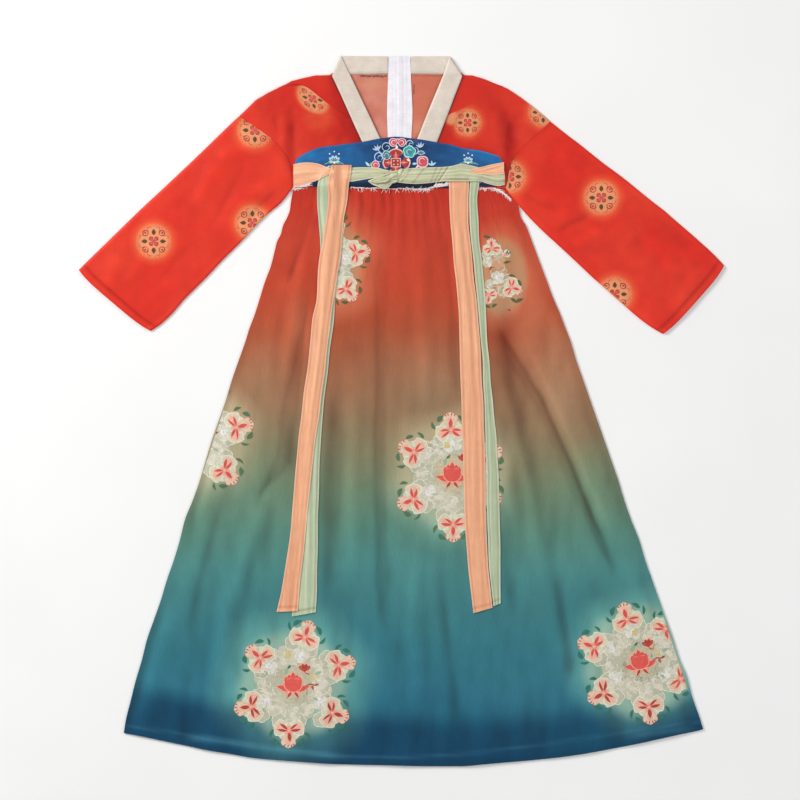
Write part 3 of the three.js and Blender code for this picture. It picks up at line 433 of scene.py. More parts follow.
BODICE_FOLDS = [
    (-1.5, 8, 8, 1.4, 0.3, [(291, 118), (293, 140), (295, 166)]),
    (1.1, 10, 10, 1.8, 0.3, [(280, 112), (283, 132), (288, 152)]),
    (-1.1, 7, 7, 1.5, 0.3, [(272, 112), (276, 126), (280, 146)]),
    (-1.3, 10, 7, 1.4, 0.3, [(330, 100), (342, 122), (352, 141)]),
    (0.9, 12, 12, 1.8, 0.3, [(316, 118), (324, 134), (338, 148)]),
    (1.0, 12, 12, 1.8, 0.3, [(300, 104), (308, 128), (312, 150)]),
    (-1.4, 8, 8, 1.4, 0.3, [(509, 118), (509, 140), (506, 158)]),
    (1.0, 9, 11, 1.8, 0.3, [(496, 104), (494, 128), (490, 150)]),
    (-0.9, 8, 8, 1.5, 0.3, [(466, 106), (456, 126), (446, 142)]),
    (0.9, 11, 11, 1.8, 0.3, [(478, 126), (470, 138), (464, 150)]),
    (1.1, 10, 10, 1.8, 0.3, [(530, 112), (524, 128), (516, 146)]),
]
# Flower roundels printed on the skirt (centre and radius), and the small ones on the red cloth.
SKIRT_ROUNDELS = [(293.2, 684, 50), (639.6, 661.3, 50), (452.2, 474.2, 50), (193, 435, 50), (319.5, 259.5, 42), (494, 272, 30)]
SMALL_ROUNDELS = {"sleeve_right": [(154, 241.5, 1.0), (252.5, 223, 1.0), (255, 130.5, 1.0)],
                  "sleeve_left": [(601, 198, 1.0), (614.5, 294.3, 1.0), (509.5, 177, 0.95)],
                  "bodice_front_right": [], "bodice_front_left": [(467.5, 123, 0.8), (543, 112.5, 0.86), (451.5, 118, 0.42)]}
# Soft hollows of the bodice: width, then points with how dark each is.
BODICE_SHADES = [
    (8.5, [(488, 97, 0.25), (500, 112, 0.45), (510, 128, 0.8), (511, 145, 0.95), (508, 160, 1.0), (507, 172, 0.9)]),
    (5.0, [(290, 108, 0.2), (289, 125, 0.55), (288, 142, 0.75), (289, 156, 0.8), (292, 168, 0.7)]),
    (6.0, [(334, 80, 0.55), (336, 98, 0.4), (343, 114, 0.55), (352, 130, 0.9), (357, 141, 0.95)]),
    (9.0, [(330, 133, 0.15), (348, 136, 0.65)]),
    (5.0, [(447, 128, 0.2), (445, 139, 0.45)]),
    (4.0, [(470, 148, 0.4), (490, 153, 0.4)]),
]

# ------------------------------------------------------------------ height of the skirt front
def skirt_sides(Y):
    py = 410.5 - np.asarray(Y) / K
    l = PX(pchip([a for a, _ in SKIRT_L], [b for _, b in SKIRT_L], py))
    r = PX(pchip([a for a, _ in SKIRT_R], [b for _, b in SKIRT_R], py))
    return l, r

GATHER_RNG = np.random.RandomState(7)
GATHER_ROWS = []
for i in range(52):
    u = (i + 0.5 + GATHER_RNG.uniform(-0.35, 0.35)) / 52
    GATHER_ROWS.append((u, GATHER_RNG.uniform(45, 175), GATHER_RNG.uniform(0.25, 0.75) * GATHER_RNG.choice([-1, 1, 1]),
                        GATHER_RNG.uniform(0.0048, 0.0105), GATHER_RNG.uniform(-0.012, 0.012)))

def skirt_height(X, Y):
    l, r = skirt_sides(Y)
    width = r - l
    u = np.clip((X - l) / width, 0, 1)
    edge = np.minimum(u, 1 - u) * width
    down = PY(188) - Y
    h = 2.1 + 1.9 * smooth(edge / 34)
    f = fold_field(X, Y, SKIRT_FOLDS)
    f = f + 0.75 * waves(X, Y, 46, 11, (0.8, 2.6)) + 0.28 * waves(X, Y, 17, 12, (0.8, 2.2))
    g = np.zeros_like(X)
    for gu, long, high, wide, lean in GATHER_ROWS:
        c = gu + lean * np.clip(down / 150, 0, 1)
        w = wide * (1 + 1.1 * np.clip(down / long, 0, 1))
        g += high * np.exp(-((u - c) / w) ** 2) * (1 - smooth((down - 0.15 * long) / (0.85 * long))) * smooth((down + 6) / 10)
    hem = 0.9 * smooth((-330 - Y) / 120) * np.sin(u * 2 * PI * 6.5 + 1.1) + 0.5 * smooth((-380 - Y) / 80) * np.sin(u * 2 * PI * 15 + 0.4)
    h = h + (f + g + hem) * smooth(edge / 20)
    # nothing under the back's upper face
    low = 1.75
    return np.where(h > low + 0.6, h, low + 0.6 * np.exp((h - low - 0.6) / 0.6))

def roundel_fields(X, Y):
    """Pale halo and olive ground of the large flower roundels; the two highest are partly lost in the gathers."""
    halo, ground = np.zeros_like(X), np.zeros_like(X)
    for k, (cx, cy, r) in enumerate(SKIRT_ROUNDELS):
        dx, dy = X - PX(cx), Y - PY(cy)
        R = r * K
        a = np.arctan2(dy, dx)
        lobed = 1 + 0.04 * np.cos(6 * (a - math.radians(17)))
        d = np.hypot(dx, dy) / (R * lobed)
        seen, wide = 1.0, (0.92, 0.70, 0.62, 0.66, 0.6, 0.6)[k]
        if k == 4:
            seen, wide = smooth((X - PX(326)) / 14), 0.85
        if k == 5:
            # pressed narrow by the gathers, with its halo drawn out towards the side seam
            d = np.hypot((X - PX(500)) / (25 * K), (Y - PY(276)) / (36 * K))
            seen, wide = smooth((X - PX(474)) / 12), 0.8
            side = np.hypot((X - PX(528)) / (30 * K), (Y - PY(300)) / (84 * K))
            halo = np.maximum(halo, 0.66 * (1 - smooth((side - 0.2) / 0.9)))
        halo = np.maximum(halo, (1 - smooth((d - 0.98) / wide)) * seen)
        ground = np.maximum(ground, (1 - smooth((d - 0.88) / 0.36)) * seen)
    return halo, ground

def small_fields(X, Y, piece):
    glow, ground = np.zeros_like(X), np.zeros_like(X)
    px, py = X / K + 401, 410.5 - Y / K
    for cx, cy, s in SMALL_ROUNDELS[piece]:
        d = np.hypot(px - cx, py - cy) / s
        glow = np.maximum(glow, 1 - smooth((d - 13.0) / 14.0))
        ground = np.maximum(ground, 1 - smooth((d - 11.5) / 8.5))
    if piece == "bodice_front_right":
        # this one lies slanted along the shoulder seam and ends at it
        u = (px - 312.6) * 0.743 + (py - 99.0) * 0.669
        v = -(px - 312.6) * 0.669 + (py - 99.0) * 0.743
        d = np.hypot(u / 19, v / 12.5) * 17
        ground = 1 - smooth((d - 12.5) / 6.0)
        glow = np.maximum(0.8 * (1 - smooth((d - 14.0) / 8.0)), 0.5 * (1 - smooth((np.hypot(px - 320, py - 118) - 6) / 15)))
    return glow, ground

def shade_chains(X, Y, rows):
    px, py = X / K + 401, 410.5 - Y / K
    out = np.zeros_like(px)
    for wide, pts in rows:
        best = np.zeros_like(px)
        for a, b in zip(pts[:-1], pts[1:]):
            dx, dy = b[0] - a[0], b[1] - a[1]
            t = np.clip(((px - a[0]) * dx + (py - a[1]) * dy) / (dx * dx + dy * dy), 0, 1)
            d = np.hypot(px - a[0] - dx * t, py - a[1] - dy * t)
            best = np.maximum(best, (a[2] + (b[2] - a[2]) * t) * np.exp(-(d / wide) ** 2))
        out = 1 - (1 - out) * (1 - best)
    return out

def line_distance(X, Y, pts):
    q = P(pts)
    d = np.full(X.shape, 1e9)
    for a, b in zip(q[:-1], q[1:]):
        ab = b - a
        t = np.clip(((X - a[0]) * ab[0] + (Y - a[1]) * ab[1]) / (ab @ ab), 0, 1)
        d = np.minimum(d, np.hypot(X - a[0] - ab[0] * t, Y - a[1] - ab[1] * t))
    return d

def relief(h, n, scale):
    """How far a point stands above (up to 1) or below (down to -1) the cloth around it."""
    return np.clip((h - blur(h, n)) / scale, -1, 1)

# ------------------------------------------------------------------ cloth finishes
def skirt_material():
    m = Mat("skirt_ombre", rough=0.66, spec=0.18, sheen=0.05)
    y = m.axis(1)
    x = m.axis(0)
    drift = m.span(m.noise(150.0, 1.0), 0.3, 0.7, -14.0, 14.0)
    level = m.math("ADD", y, drift)
    f = m.span(level, 312.0, -500.0, 0.0, 1.0)
    col = m.ramp(f, [
        (0.00, (190, 44, 30)), (0.04, (196, 56, 38)), (0.108, (196, 66, 44)), (0.177, (192, 70, 44)), (0.246, (172, 80, 50)),
        (0.314, (158, 102, 72)), (0.383, (148, 114, 84)), (0.452, (132, 128, 98)), (0.521, (110, 134, 108)), (0.59, (88, 134, 119)),
        (0.659, (74, 134, 132)), (0.728, (60, 123, 129)), (0.797, (50, 117, 130)), (0.866, (46, 112, 132)), (0.935, (28, 94, 118)),
        (1.00, (14, 76, 104))])
    # red side of the cloth reaches lower at the outer seams than at the middle
    deep = m.attr("deep")
    col = m.mix(m.math("MULTIPLY", deep, 0.9), col, lin((4, 58, 92)))
    # painted highlight: paler blue along the curled hem fold
    stripe = m.attr("stripe")
    col = m.mix(m.math("MULTIPLY", stripe, 0.5), col, lin((62, 122, 146)))
    # round the printed flowers the cloth is dyed paler, cool low down and warm higher up; the same mix also carries
    # painted highlight patches on the right-hand ridge
    where = m.span(level, -400.0, 220.0, 0.0, 1.0)
    halo = m.attr("halo")
    tint = m.ramp(where, [(0.0, (104, 176, 168)), (0.36, (116, 172, 158)), (0.5, (166, 164, 130)), (0.66, (186, 160, 126)),
                          (0.84, (206, 132, 96)), (1.0, (214, 110, 78))])
    col = m.mix(m.math("MULTIPLY", halo, 0.68), col, tint)
    ground = m.attr("ground")
    olive = m.ramp(where, [(0.0, (158, 188, 168)), (0.36, (160, 184, 160)), (0.5, (184, 178, 146)), (0.66, (186, 168, 134)), (1.0, (190, 144, 104))])
    col = m.mix(m.math("MULTIPLY", ground, 0.76), col, olive)
    col = m.shaded(col, lin((150, 118, 114)), lift=0.13)
    return m.finish(col, weave=1.3, slub=0.05, tone=0.06, bump=0.3, crumple=0.22, tone_size=60.0, slub_scale=(1, 0.1, 1))

def red_material(name="silk_red"):
    m = Mat(name, rough=0.5, spec=0.26, sheen=0.06, sheen_tint=(255, 170, 140))
    big = m.span(m.noise(95.0, 2.0), 0.35, 0.65, 0.0, 1.0)
    col = m.mix(big, lin((213, 39, 24)), lin((222, 56, 34)))
    glow = m.attr("glow")
    col = m.mix(m.math("MULTIPLY", glow, 0.56), col, lin((240, 112, 62)))
    ground = m.attr("ground")
    col = m.mix(m.math("MULTIPLY", ground, 0.84), col, lin((230, 156, 112)))
    col = m.shaded(col, lin((196, 96, 92)), lift=0.16, light=(255, 150, 120))
    # painted shadow: the seam attribute darkens a thin line of the red cloth along the collar's outer edge
    col = m.mix(m.math("MULTIPLY", m.attr("seam"), 0.8), col, lin((58, 24, 18)))
    return m.finish(col, weave=1.0, twill=True, slub=0.04, tone=0.05, bump=0.22, crumple=0.3, tone_size=40.0)

def inside_material():
    m = Mat("silk_red_wrong_side", rough=0.66, spec=0.25, sheen=0.15)
    big = m.span(m.noise(34.0, 2.0), 0.35, 0.65, 0.0, 1.0)
    col = m.mix(big, lin((214, 134, 118)), lin((204, 118, 98)))
    right = m.span(m.axis(0), 6.0, 20.0)
    col = m.mix(right, col, lin((204, 112, 88)))
    ghost = m.attr("ghost")
    col = m.mix(m.math("MULTIPLY", ghost, 0.6), col, lin((222, 158, 128)))
    return m.finish(col, weave=1.0, twill=True, slub=0.05, tone=0.06, bump=0.25)

def satin_material(name, a, b, deep, vertical=True, rough=0.5, sheen=0.2, tint=(255, 230, 210)):
    m = Mat(name, rough=rough, spec=0.36, sheen=sheen, sheen_tint=tint)
    streak = m.noise(5.0, 3.0, 0.6, (1, 0.03, 1) if vertical else (0.03, 1, 1))
    k = m.span(streak, 0.35, 0.68, 0.0, 1.0)
    col = m.mix(k, lin(a), lin(b))
    col = m.shaded(col, lin(deep), lift=0.2)
    edge = m.attr("edge")
    col = m.mix(m.math("MULTIPLY", edge, 0.35), col, lin((255, 244, 226)))
    return m.finish(col, weave=0.9, slub=0.05, tone=0.035, bump=0.22, crumple=0.2, tone_size=18.0,
                    slub_scale=(1, 0.08, 1) if vertical else (0.08, 1, 1))

def band_material():
    m = Mat("band_blue", rough=0.46, spec=0.3, sheen=0.06, sheen_tint=(150, 200, 255))
    x = m.math("ABSOLUTE", m.math("ADD", m.axis(0), -6.0))
    wide = m.span(x, 10.0, 118.0, 0.0, 1.0)
    patch = m.span(m.noise(26.0, 2.0, 0.5, (0.6, 1, 1)), 0.36, 0.64, 0.0, 1.0)
    k = m.math("MULTIPLY", wide, m.span(patch, 0.0, 1.0, 0.55, 1.15), True)
    col = m.mix(k, lin((12, 50, 98)), lin((30, 110, 172)))
    col = m.shaded(col, lin((84, 84, 104)), lift=0.2)
    return m.finish(col, weave=0.9, twill=True, slub=0.06, tone=0.07, bump=0.25, crumple=0.25, tone_size=22.0)

def plain_cloth(name, a, b, rough=0.72, sheen=0.2, weave=1.2, ribs=None, deep=(170, 160, 160), tone=0.04):
    m = Mat(name, rough=rough, spec=0.25, sheen=sheen)
    k = m.span(m.noise(16.0, 2.0), 0.35, 0.65, 0.0, 1.0)
    col = m.mix(k, lin(a), lin(b))
    col = m.shaded(col, lin(deep), lift=0.1)
    return m.finish(col, weave=weave, slub=0.05, tone=tone, bump=0.3, crumple=0.2, tone_size=14.0)

def ink(name, rgb, rough=0.6, sheen=0.15, soft=0.05):
    """Printed dye in the cloth: its colour with the weave of the cloth showing through."""
    m = Mat(name, rough=rough, spec=0.28, sheen=sheen)
    k = m.span(m.noise(3.5, 2.0), 0.35, 0.65, 1 - 1.6 * soft, 1 + 1.2 * soft)
    c = m.add("ShaderNodeCombineColor")
    for i in range(3):
        m.link(k, c.inputs[i])
    col = m.mix(1.0, lin(rgb), c.outputs[0], "MULTIPLY")
    return m.finish(col, weave=1.1, slub=0.04, tone=0.03, bump=0.25, crumple=0.2, tone_size=20.0)

SKIRT = skirt_material()
RED = red_material()
INSIDE = inside_material()
PEACH_V = satin_material("ribbon_peach", (230, 162, 124), (241, 180, 139), (214, 168, 150))
PEACH_H = satin_material("ribbon_peach_belt", (240, 176, 138), (247, 188, 148), (212, 166, 146), vertical=False)
GREEN_V = satin_material("ribbon_green", (176, 190, 158), (194, 206, 172), (160, 160, 140), tint=(240, 255, 230))
GREEN_H = satin_material("ribbon_green_belt", (184, 190, 154), (212, 210, 176), (150, 144, 118), vertical=False, tint=(240, 255, 230))
BLUE = band_material()
COLLAR = plain_cloth("collar_cream", (216, 203, 190), (225, 213, 201), sheen=0.1, weave=1.5)
TAPE = plain_cloth("tape_white", (236, 232, 240), (244, 241, 247), weave=1.8)
WHITE = plain_cloth("trim_white", (244, 226, 224), (250, 240, 238), rough=0.85, weave=0.9)
SHADOW = ink("thread_dark", (54, 52, 46), rough=0.8)

# ------------------------------------------------------------------ skirt
def build_skirt():
    R, C = 206, 200
    v = np.linspace(0, 1, R)
    u = np.linspace(0, 1, C)
    level = PY(188) + (PY(733) - PY(188)) * v            # before the hem's curve
    l, r = skirt_sides(level)
    X = l[:, None] + (r - l)[:, None] * u[None, :]
    hx = np.linspace(PX(124), PX(703), 400)
    hem = PY(pchip([a for a, _ in HEM], [b for _, b in HEM], hx / K + 401))
    drop = np.interp(u, np.linspace(0, 1, 400), hem) - PY(733)
    Y = level[:, None] + drop[None, :] * smooth((v[:, None] - 0.72) / 0.28)
    H = skirt_height(X, Y)
    # the hem lies down on the back
    rim = smooth((1 - v[:, None]) / 0.02)
    H = 2.3 + (H - 2.3) * (0.55 + 0.45 * rim)
    top = np.stack([X, Y, H], -1)
    halo, ground = roundel_fields(X, Y)
    shade = relief(H, 26, 1.7)
    px, py = X / K + 401, 410.5 - Y / K
    # paler tan patches joined to the halo at mid height: the one on the right, on the long ridge, is painted highlight,
    # the others extend the printed halos
    tan = np.exp(-((py - 375) / 52) ** 2) * (np.exp(-((px - 562) / 26) ** 2) + 0.6 * np.exp(-((px - 264) / 22) ** 2) + 0.55 * np.exp(-((px - 432) / 26) ** 2))
    # the printed halo of the roundel beside the left ribbon
    tan = tan + 0.95 * np.exp(-((py - 326) / 30) ** 2) * np.exp(-((px - 300) / 11) ** 2)
    # painted highlight on the right-hand ridge
    tan = tan + 0.42 * np.exp(-((py - 330) / 34) ** 2) * np.exp(-((px - 548) / 18) ** 2)
    halo = np.maximum(halo, 0.62 * np.clip(tan, 0, 1))
    # painted shade on the skirt beside the hanging ribbons: right of the right ones and on both sides of the left ones
    hollow = np.exp(-((px - (497 + (py - 300) * 0.145)) / 11) ** 2) * smooth((py - 290) / 50) * smooth((560 - py) / 90)
    beside = np.exp(-((px - (331 - (py - 440) * 0.035)) / 7) ** 2) * smooth((py - 370) / 60) * smooth((640 - py) / 90)
    before = np.exp(-((px - 291) / 8) ** 2) * np.exp(-((py - 450) / 30) ** 2)
    shade = shade - 0.5 * hollow - 0.4 * beside - 0.45 * before
    bound = pchip([100, 135, 240, 367, 459, 587, 640, 720], [676, 686, 707, 716, 722, 713, 700, 690], px)
    deep = smooth((py - bound + 13) / 26)
    halo = halo * (1 - 0.5 * deep)
    halo = np.maximum(halo, 0.45 * np.exp(-((px - 573) / 13) ** 2 - ((py - 650) / 24) ** 2))
    halo = np.maximum(halo, 0.5 * np.exp(-((px - 223) / 9) ** 2 - ((py - 489) / 11) ** 2))
    deep = deep * (0.82 + 0.18 * np.clip(waves(X, Y, 70, 31), -1, 1))
    # painted highlight along the curled hem fold, in two stretches, and a thin paler line along the hem
    stripe = np.exp(-((py - pchip([120, 190, 270, 350, 430], [745, 738, 748, 757, 764], px)) / 3.2) ** 2) * smooth((px - 178) / 20) * smooth((360 - px) / 30)
    stripe += 0.7 * np.exp(-((py - (731.5 - (px - 665) * 0.12)) / 3.0) ** 2) * smooth((px - 628) / 16) * smooth((698 - px) / 12)
    stripe += 0.5 * np.exp(-((py - pchip([120, 388, 703], [725, 757, 721], px)) / 1.5) ** 2)
    front = shell("skirt_front", top, [SKIRT], 0.9, straight=True,
                  attrs={"halo": halo, "ground": ground, "shade": shade, "deep": deep, "stripe": stripe})
    # the back lies flat under it, its side seams turned up to meet the front
    R2, C2 = 60, 56
    v2, u2 = np.linspace(0, 1, R2), np.linspace(0, 1, C2)
    level2 = PY(188) + (PY(733) - PY(188)) * v2
    l2, r2 = skirt_sides(level2)
    inset = 0.6
    X2 = (l2 + inset)[:, None] + (r2 - l2 - 2 * inset)[:, None] * u2[None, :]
    drop2 = np.interp(u2, np.linspace(0, 1, 400), hem) - PY(733)
    Y2 = level2[:, None] + (drop2[None, :] + 1.6) * smooth((v2[:, None] - 0.72) / 0.28)
    Z2 = np.full_like(X2, 0.9)
    zero = np.zeros_like(X2)
    halo2 = zero
    px2, py2 = X2 / K + 401, 410.5 - Y2 / K
    back = shell("skirt_back", np.stack([X2, Y2, Z2], -1), [SKIRT],
                 under=np.stack([X2, Y2, np.full_like(X2, 0.05)], -1),
                 attrs={"halo": halo2, "ground": zero, "shade": zero, "deep": smooth((py2 - 704) / 26), "stripe": zero})
    return front, back

# ------------------------------------------------------------------ sleeves
def build_sleeve(name, up, lo, arm, s):
    A, N = 112, 58                                       # sections, points across one side
    def straighter(q):
        v = np.linspace(0, 1, len(q))[:, None]
        chord_ = q[0] + (q[-1] - q[0]) * v
        basis = v * (1 - v) * np.concatenate([np.ones_like(v), v, v * v], 1)
        k = np.linalg.lstsq(basis, q - chord_, rcond=None)[0]
        even = 0.75 if s else 0.0
        return (1 - even) * q + even * (chord_ + basis @ k)
    upc, loc = straighter(along(P(up), A)), straighter(along(P(lo), A))
    armc = along(P(arm), N)
    t = np.linspace(0, 1, N)
    chord = armc[0] + (armc[-1] - armc[0]) * t[:, None]
    bulge = armc - chord
    w = np.linspace(0, 1, A)
    G = upc[:, None, :] + (loc - upc)[:, None, :] * t[None, :, None] + bulge[None] * ((1 - w) ** 2)[:, None, None]
    # the cuff edge bows outwards a little
    cd = loc[-1] - upc[-1]
    away_ = np.array([-cd[1], cd[0]]) / np.linalg.norm(cd)
    if away_ @ (upc[-1] - upc[0]) < 0:
        away_ = -away_
    G = G + away_[None, None, :] * (4.4 * (w ** 4)[:, None] * (1 - (2 * t - 1) ** 4)[None, :])[..., None]
    X, Y = G[..., 0], G[..., 1]
    long = np.linalg.norm(loc - upc, axis=1)[:, None]
    d = np.minimum(t, 1 - t)[None, :] * long             # from the folded edge
    folds = fold_field(X, Y, SLEEVE_FOLDS) + 0.45 * waves(X, Y, 38, 21 + s) + 0.1 * waves(X, Y, 13, 23 + s)
    r = 1.7
    round_ = np.where(d < r, np.sqrt(np.clip(1 - ((r - d) / r) ** 2, 0, 1)), 1.0)
    seam = smooth(w / 0.03)[:, None]
    body = 3.5 + folds * smooth(d / 12) + 1.0 * smooth(d / 26) * smooth((1 - w[:, None]) / 0.08)
    body = 3.2 + (body - 3.2) * (0.6 + 0.4 * seam) - 0.12 * (1 - seam)
    # cuff: a turned hem stands a little proud, and its stitch line pulls in
    cuff = (1 - w)[:, None] * np.linalg.norm(upc[0] - upc[-1])
    body += 0.4 * np.exp(-((cuff - 4.5) / 3.4) ** 2) - 0.32 * np.exp(-((cuff - 10.5) / 2.0) ** 2)
    body = np.maximum(body, 2.3)
    zt = r + (body - r) * round_
    zb = r - r * round_
    n = np.zeros_like(G)
    # outer ring: over the top from the upper fold to the lower fold and back underneath
    top = np.concatenate([G, zt[..., None]], -1)
    bot = np.concatenate([G, zb[..., None]], -1)[:, ::-1]
    outer = np.concatenate([top, bot[:, 1:-1]], 1)
    inset = G.copy()
    ax = (loc - upc) / long
    k = np.clip(1 - d / 3.0, 0, 1)
    sgn = np.where(t < 0.5, 1.0, -1.0)[None, :]
    inset = G + ax[:, None, :] * (k * sgn * 0.8)[..., None]
    it = np.concatenate([inset, np.maximum(zt - WALL, r + 0.05)[..., None]], -1)
    ib = np.concatenate([inset, np.minimum(zb + WALL, r - 0.05)[..., None]], -1)[:, ::-1]
    inner = np.concatenate([it, ib[:, 1:-1]], 1)
    M = outer.shape[1]
    verts = np.concatenate([outer.reshape(-1, 3), inner.reshape(-1, 3)])
    idx = np.arange(A * M).reshape(A, M)
    nxt = np.roll(idx, -1, axis=1)
    o = np.stack([idx[:-1], idx[1:], nxt[1:], nxt[:-1]], -1).reshape(-1, 4)
    i_ = o[:, ::-1] + A * M
    e0 = np.stack([idx[0], nxt[0], nxt[0] + A * M, idx[0] + A * M], -1)
    e1 = np.stack([nxt[-1], idx[-1], idx[-1] + A * M, nxt[-1] + A * M], -1)
    faces = np.concatenate([o, i_, e0, e1])
    fm = np.concatenate([np.zeros(len(o)), np.ones(len(i_)), np.zeros(len(e0) + len(e1))]).astype(int)
    vol = np.einsum("ij,ij->i", verts[faces[:, 0]], np.cross(verts[faces[:, 1]], verts[faces[:, 2]])).sum() \
        + np.einsum("ij,ij->i", verts[faces[:, 0]], np.cross(verts[faces[:, 2]], verts[faces[:, 3]])).sum()
    if vol < 0:
        faces = faces[:, ::-1]
    glow, ground = small_fields(X, Y, name)
    shade = 0.75 * relief(zt, 14, 0.9) * smooth(d / 8) * smooth((w[:, None] - 0.01) / 0.1) + 0.12
    shade = shade - 0.45 * np.exp(-((cuff - 10.5) / 2.0) ** 2) - 0.22 * np.exp(-(w[:, None] * 60 / 1.2) ** 2)
    shade = shade - 0.6 * shade_chains(X, Y, BODICE_SHADES[:2]) * (1 - 0.8 * ground)
    pad = lambda a: np.concatenate([a, np.zeros((A, M - N))], 1)
    both = lambda a: np.concatenate([pad(a).ravel(), np.zeros(A * M)])
    return put_mesh(name, verts, faces, [RED, INSIDE], fm,
                    {"glow": both(glow), "ground": both(ground), "shade": both(np.clip(shade, -1, 1)), "ghost": np.zeros(2 * A * M)}, 60)

# ------------------------------------------------------------------ bodice
NECK_R = [(332, 76), (339.5, 92), (345.5, 105.5), (353.5, 123.3), (362, 142), (366, 150)]
NECK_L = [(462.4, 76), (456, 93), (450.5, 107.5), (444.5, 123), (437.5, 141.2), (434, 150)]
SHOULDER_R = [(283, 86), (298, 85), (327.6, 103.5), (351, 118.6)]
SHOULDER_L = [(503, 86.5), (488, 94), (473, 103), (447, 116)]
OUT_R = [(239, 116.5), (244, 112), (256, 100), (268, 93), (283, 85.6), (292, 81), (304, 78), (316, 75.4), (332, 74.6)]
OUT_L = [(550, 121.5), (544, 116), (532, 106), (520, 97), (508, 89), (496, 84), (484, 79), (472, 75.4), (461, 74.6)]

def bodice_z(X, Y, arm, seed):
    armp = P(arm)
    d = np.full(X.shape, 1e9)
    for a, b in zip(armp[:-1], armp[1:]):
        ab = b - a
        tt = np.clip(((X - a[0]) * ab[0] + (Y - a[1]) * ab[1]) / (ab @ ab), 0, 1)
        d = np.minimum(d, np.hypot(X - a[0] - ab[0] * tt, Y - a[1] - ab[1] * tt))
    lift = np.where(Y > PY(141), 0.0, 1.2 * (1 - smooth((np.abs(X + 2.8) - 22) / 14)))
    z = 3.1 + 0.7 * smooth(d / 22) + lift + (fold_field(X, Y, BODICE_FOLDS) + 0.35 * waves(X, Y, 30, seed) + 0.15 * waves(X, Y, 11, seed + 1)) * smooth(d / 7)
    z = z - 0.22 * np.exp(-(d / 2.2) ** 2)
    return np.maximum(z, 2.2), d

def build_front(name, arm, neck, shoulder, outl, centre, seed):
    # rows from the waist up; each runs from the armhole, the outline or the shoulder seam to the neck edge
    levels = np.linspace(188.3, 86.3, 96)
    armp = np.array(arm)
    neckp = np.array(neck)
    out = np.array(outl)
    side = 1.0 if armp[0, 0] < 401 else -1.0
    curve = along(P(shoulder), 160)
    sh = np.stack([curve[:, 0] / K + 401, 410.5 - curve[:, 1] / K], 1)
    if side > 0:
        levels = np.linspace(188.3, 85.6, 96)
        sh = sh[sh[:, 0] > 298]
    X0, X1, YY = [], [], []
    for py in levels:
        if py >= armp[0, 1]:
            a = float(np.interp(py, armp[:, 1], armp[:, 0]))
        else:
            o = out[np.argsort(out[:, 1])]
            a = float(np.interp(py, o[:, 1], o[:, 0]))
        seam = sh[np.argsort(sh[:, 1])]
        if py < seam[-1, 1]:
            b = float(np.interp(py, seam[:, 1], seam[:, 0]))
        elif py < 150:
            b = float(np.interp(py, neckp[:, 1], neckp[:, 0])) + side * 4.0
        else:
            b = float(np.interp(py, [150, 160], [neckp[-1, 0] + side * 4.0, centre]))
        X0.append(a)
        X1.append(b)
        YY.append(py)
    X0, X1, YY = np.array(X0), np.array(X1), np.array(YY)
    t = np.linspace(0, 1, 64)
    X = PX(X0[:, None] + (X1 - X0)[:, None] * t[None, :])
    Y = PY(YY)[:, None] + 0 * X
    Z, d = bodice_z(X, Y, arm, seed)
    ds = line_distance(X, Y, [(283, 86), (298, 85)] + sh[::8].tolist() if side > 0 else sh[::8].tolist())
    Z = Z + (3.9 - Z) * np.exp(-(ds / 7.0) ** 2)
    # outline edge above the armhole rounds down to the back
    upper = (YY < armp[0, 1])[:, None]
    e = np.abs(X - X[:, :1])
    Z = np.where(upper, 1.7 + (Z - 1.7) * np.sqrt(np.clip(1 - (1 - np.clip(e / 2.2, 0, 1)) ** 2, 0, 1)), Z)
    glow, ground = small_fields(X, Y, name)
    near = 1 - smooth(d / 30)
    shade = 0.8 * relief(Z, 10, 0.9) * (1 - 0.7 * near) - 0.12 + 0.24 * near
    shade = shade - 0.22 * np.exp(-(d / 1.6) ** 2) - (0.2 if side > 0 else 0.0) * np.exp(-(ds / 1.4) ** 2)
    # painted shade beside the collar, where the front dips under it, and in the bodice's soft hollows
    dn = line_distance(X, Y, neck)
    shade = shade - 0.35 * np.exp(-(dn / 6.0) ** 1.5) - 0.85 * shade_chains(X, Y, BODICE_SHADES)
    shade = shade * (1 - 0.75 * ground)
    top = np.stack([X, Y, Z], -1)
    # the seam attribute is a painted shadow line along the collar's outer edge
    return shell(name, top, [RED, INSIDE], 0.8, straight=True, inner=1,
                 attrs={"glow": glow, "ground": ground, "shade": np.clip(shade, -1, 1), "ghost": 0 * X,
                        "seam": np.exp(-(dn / 1.8) ** 2)})

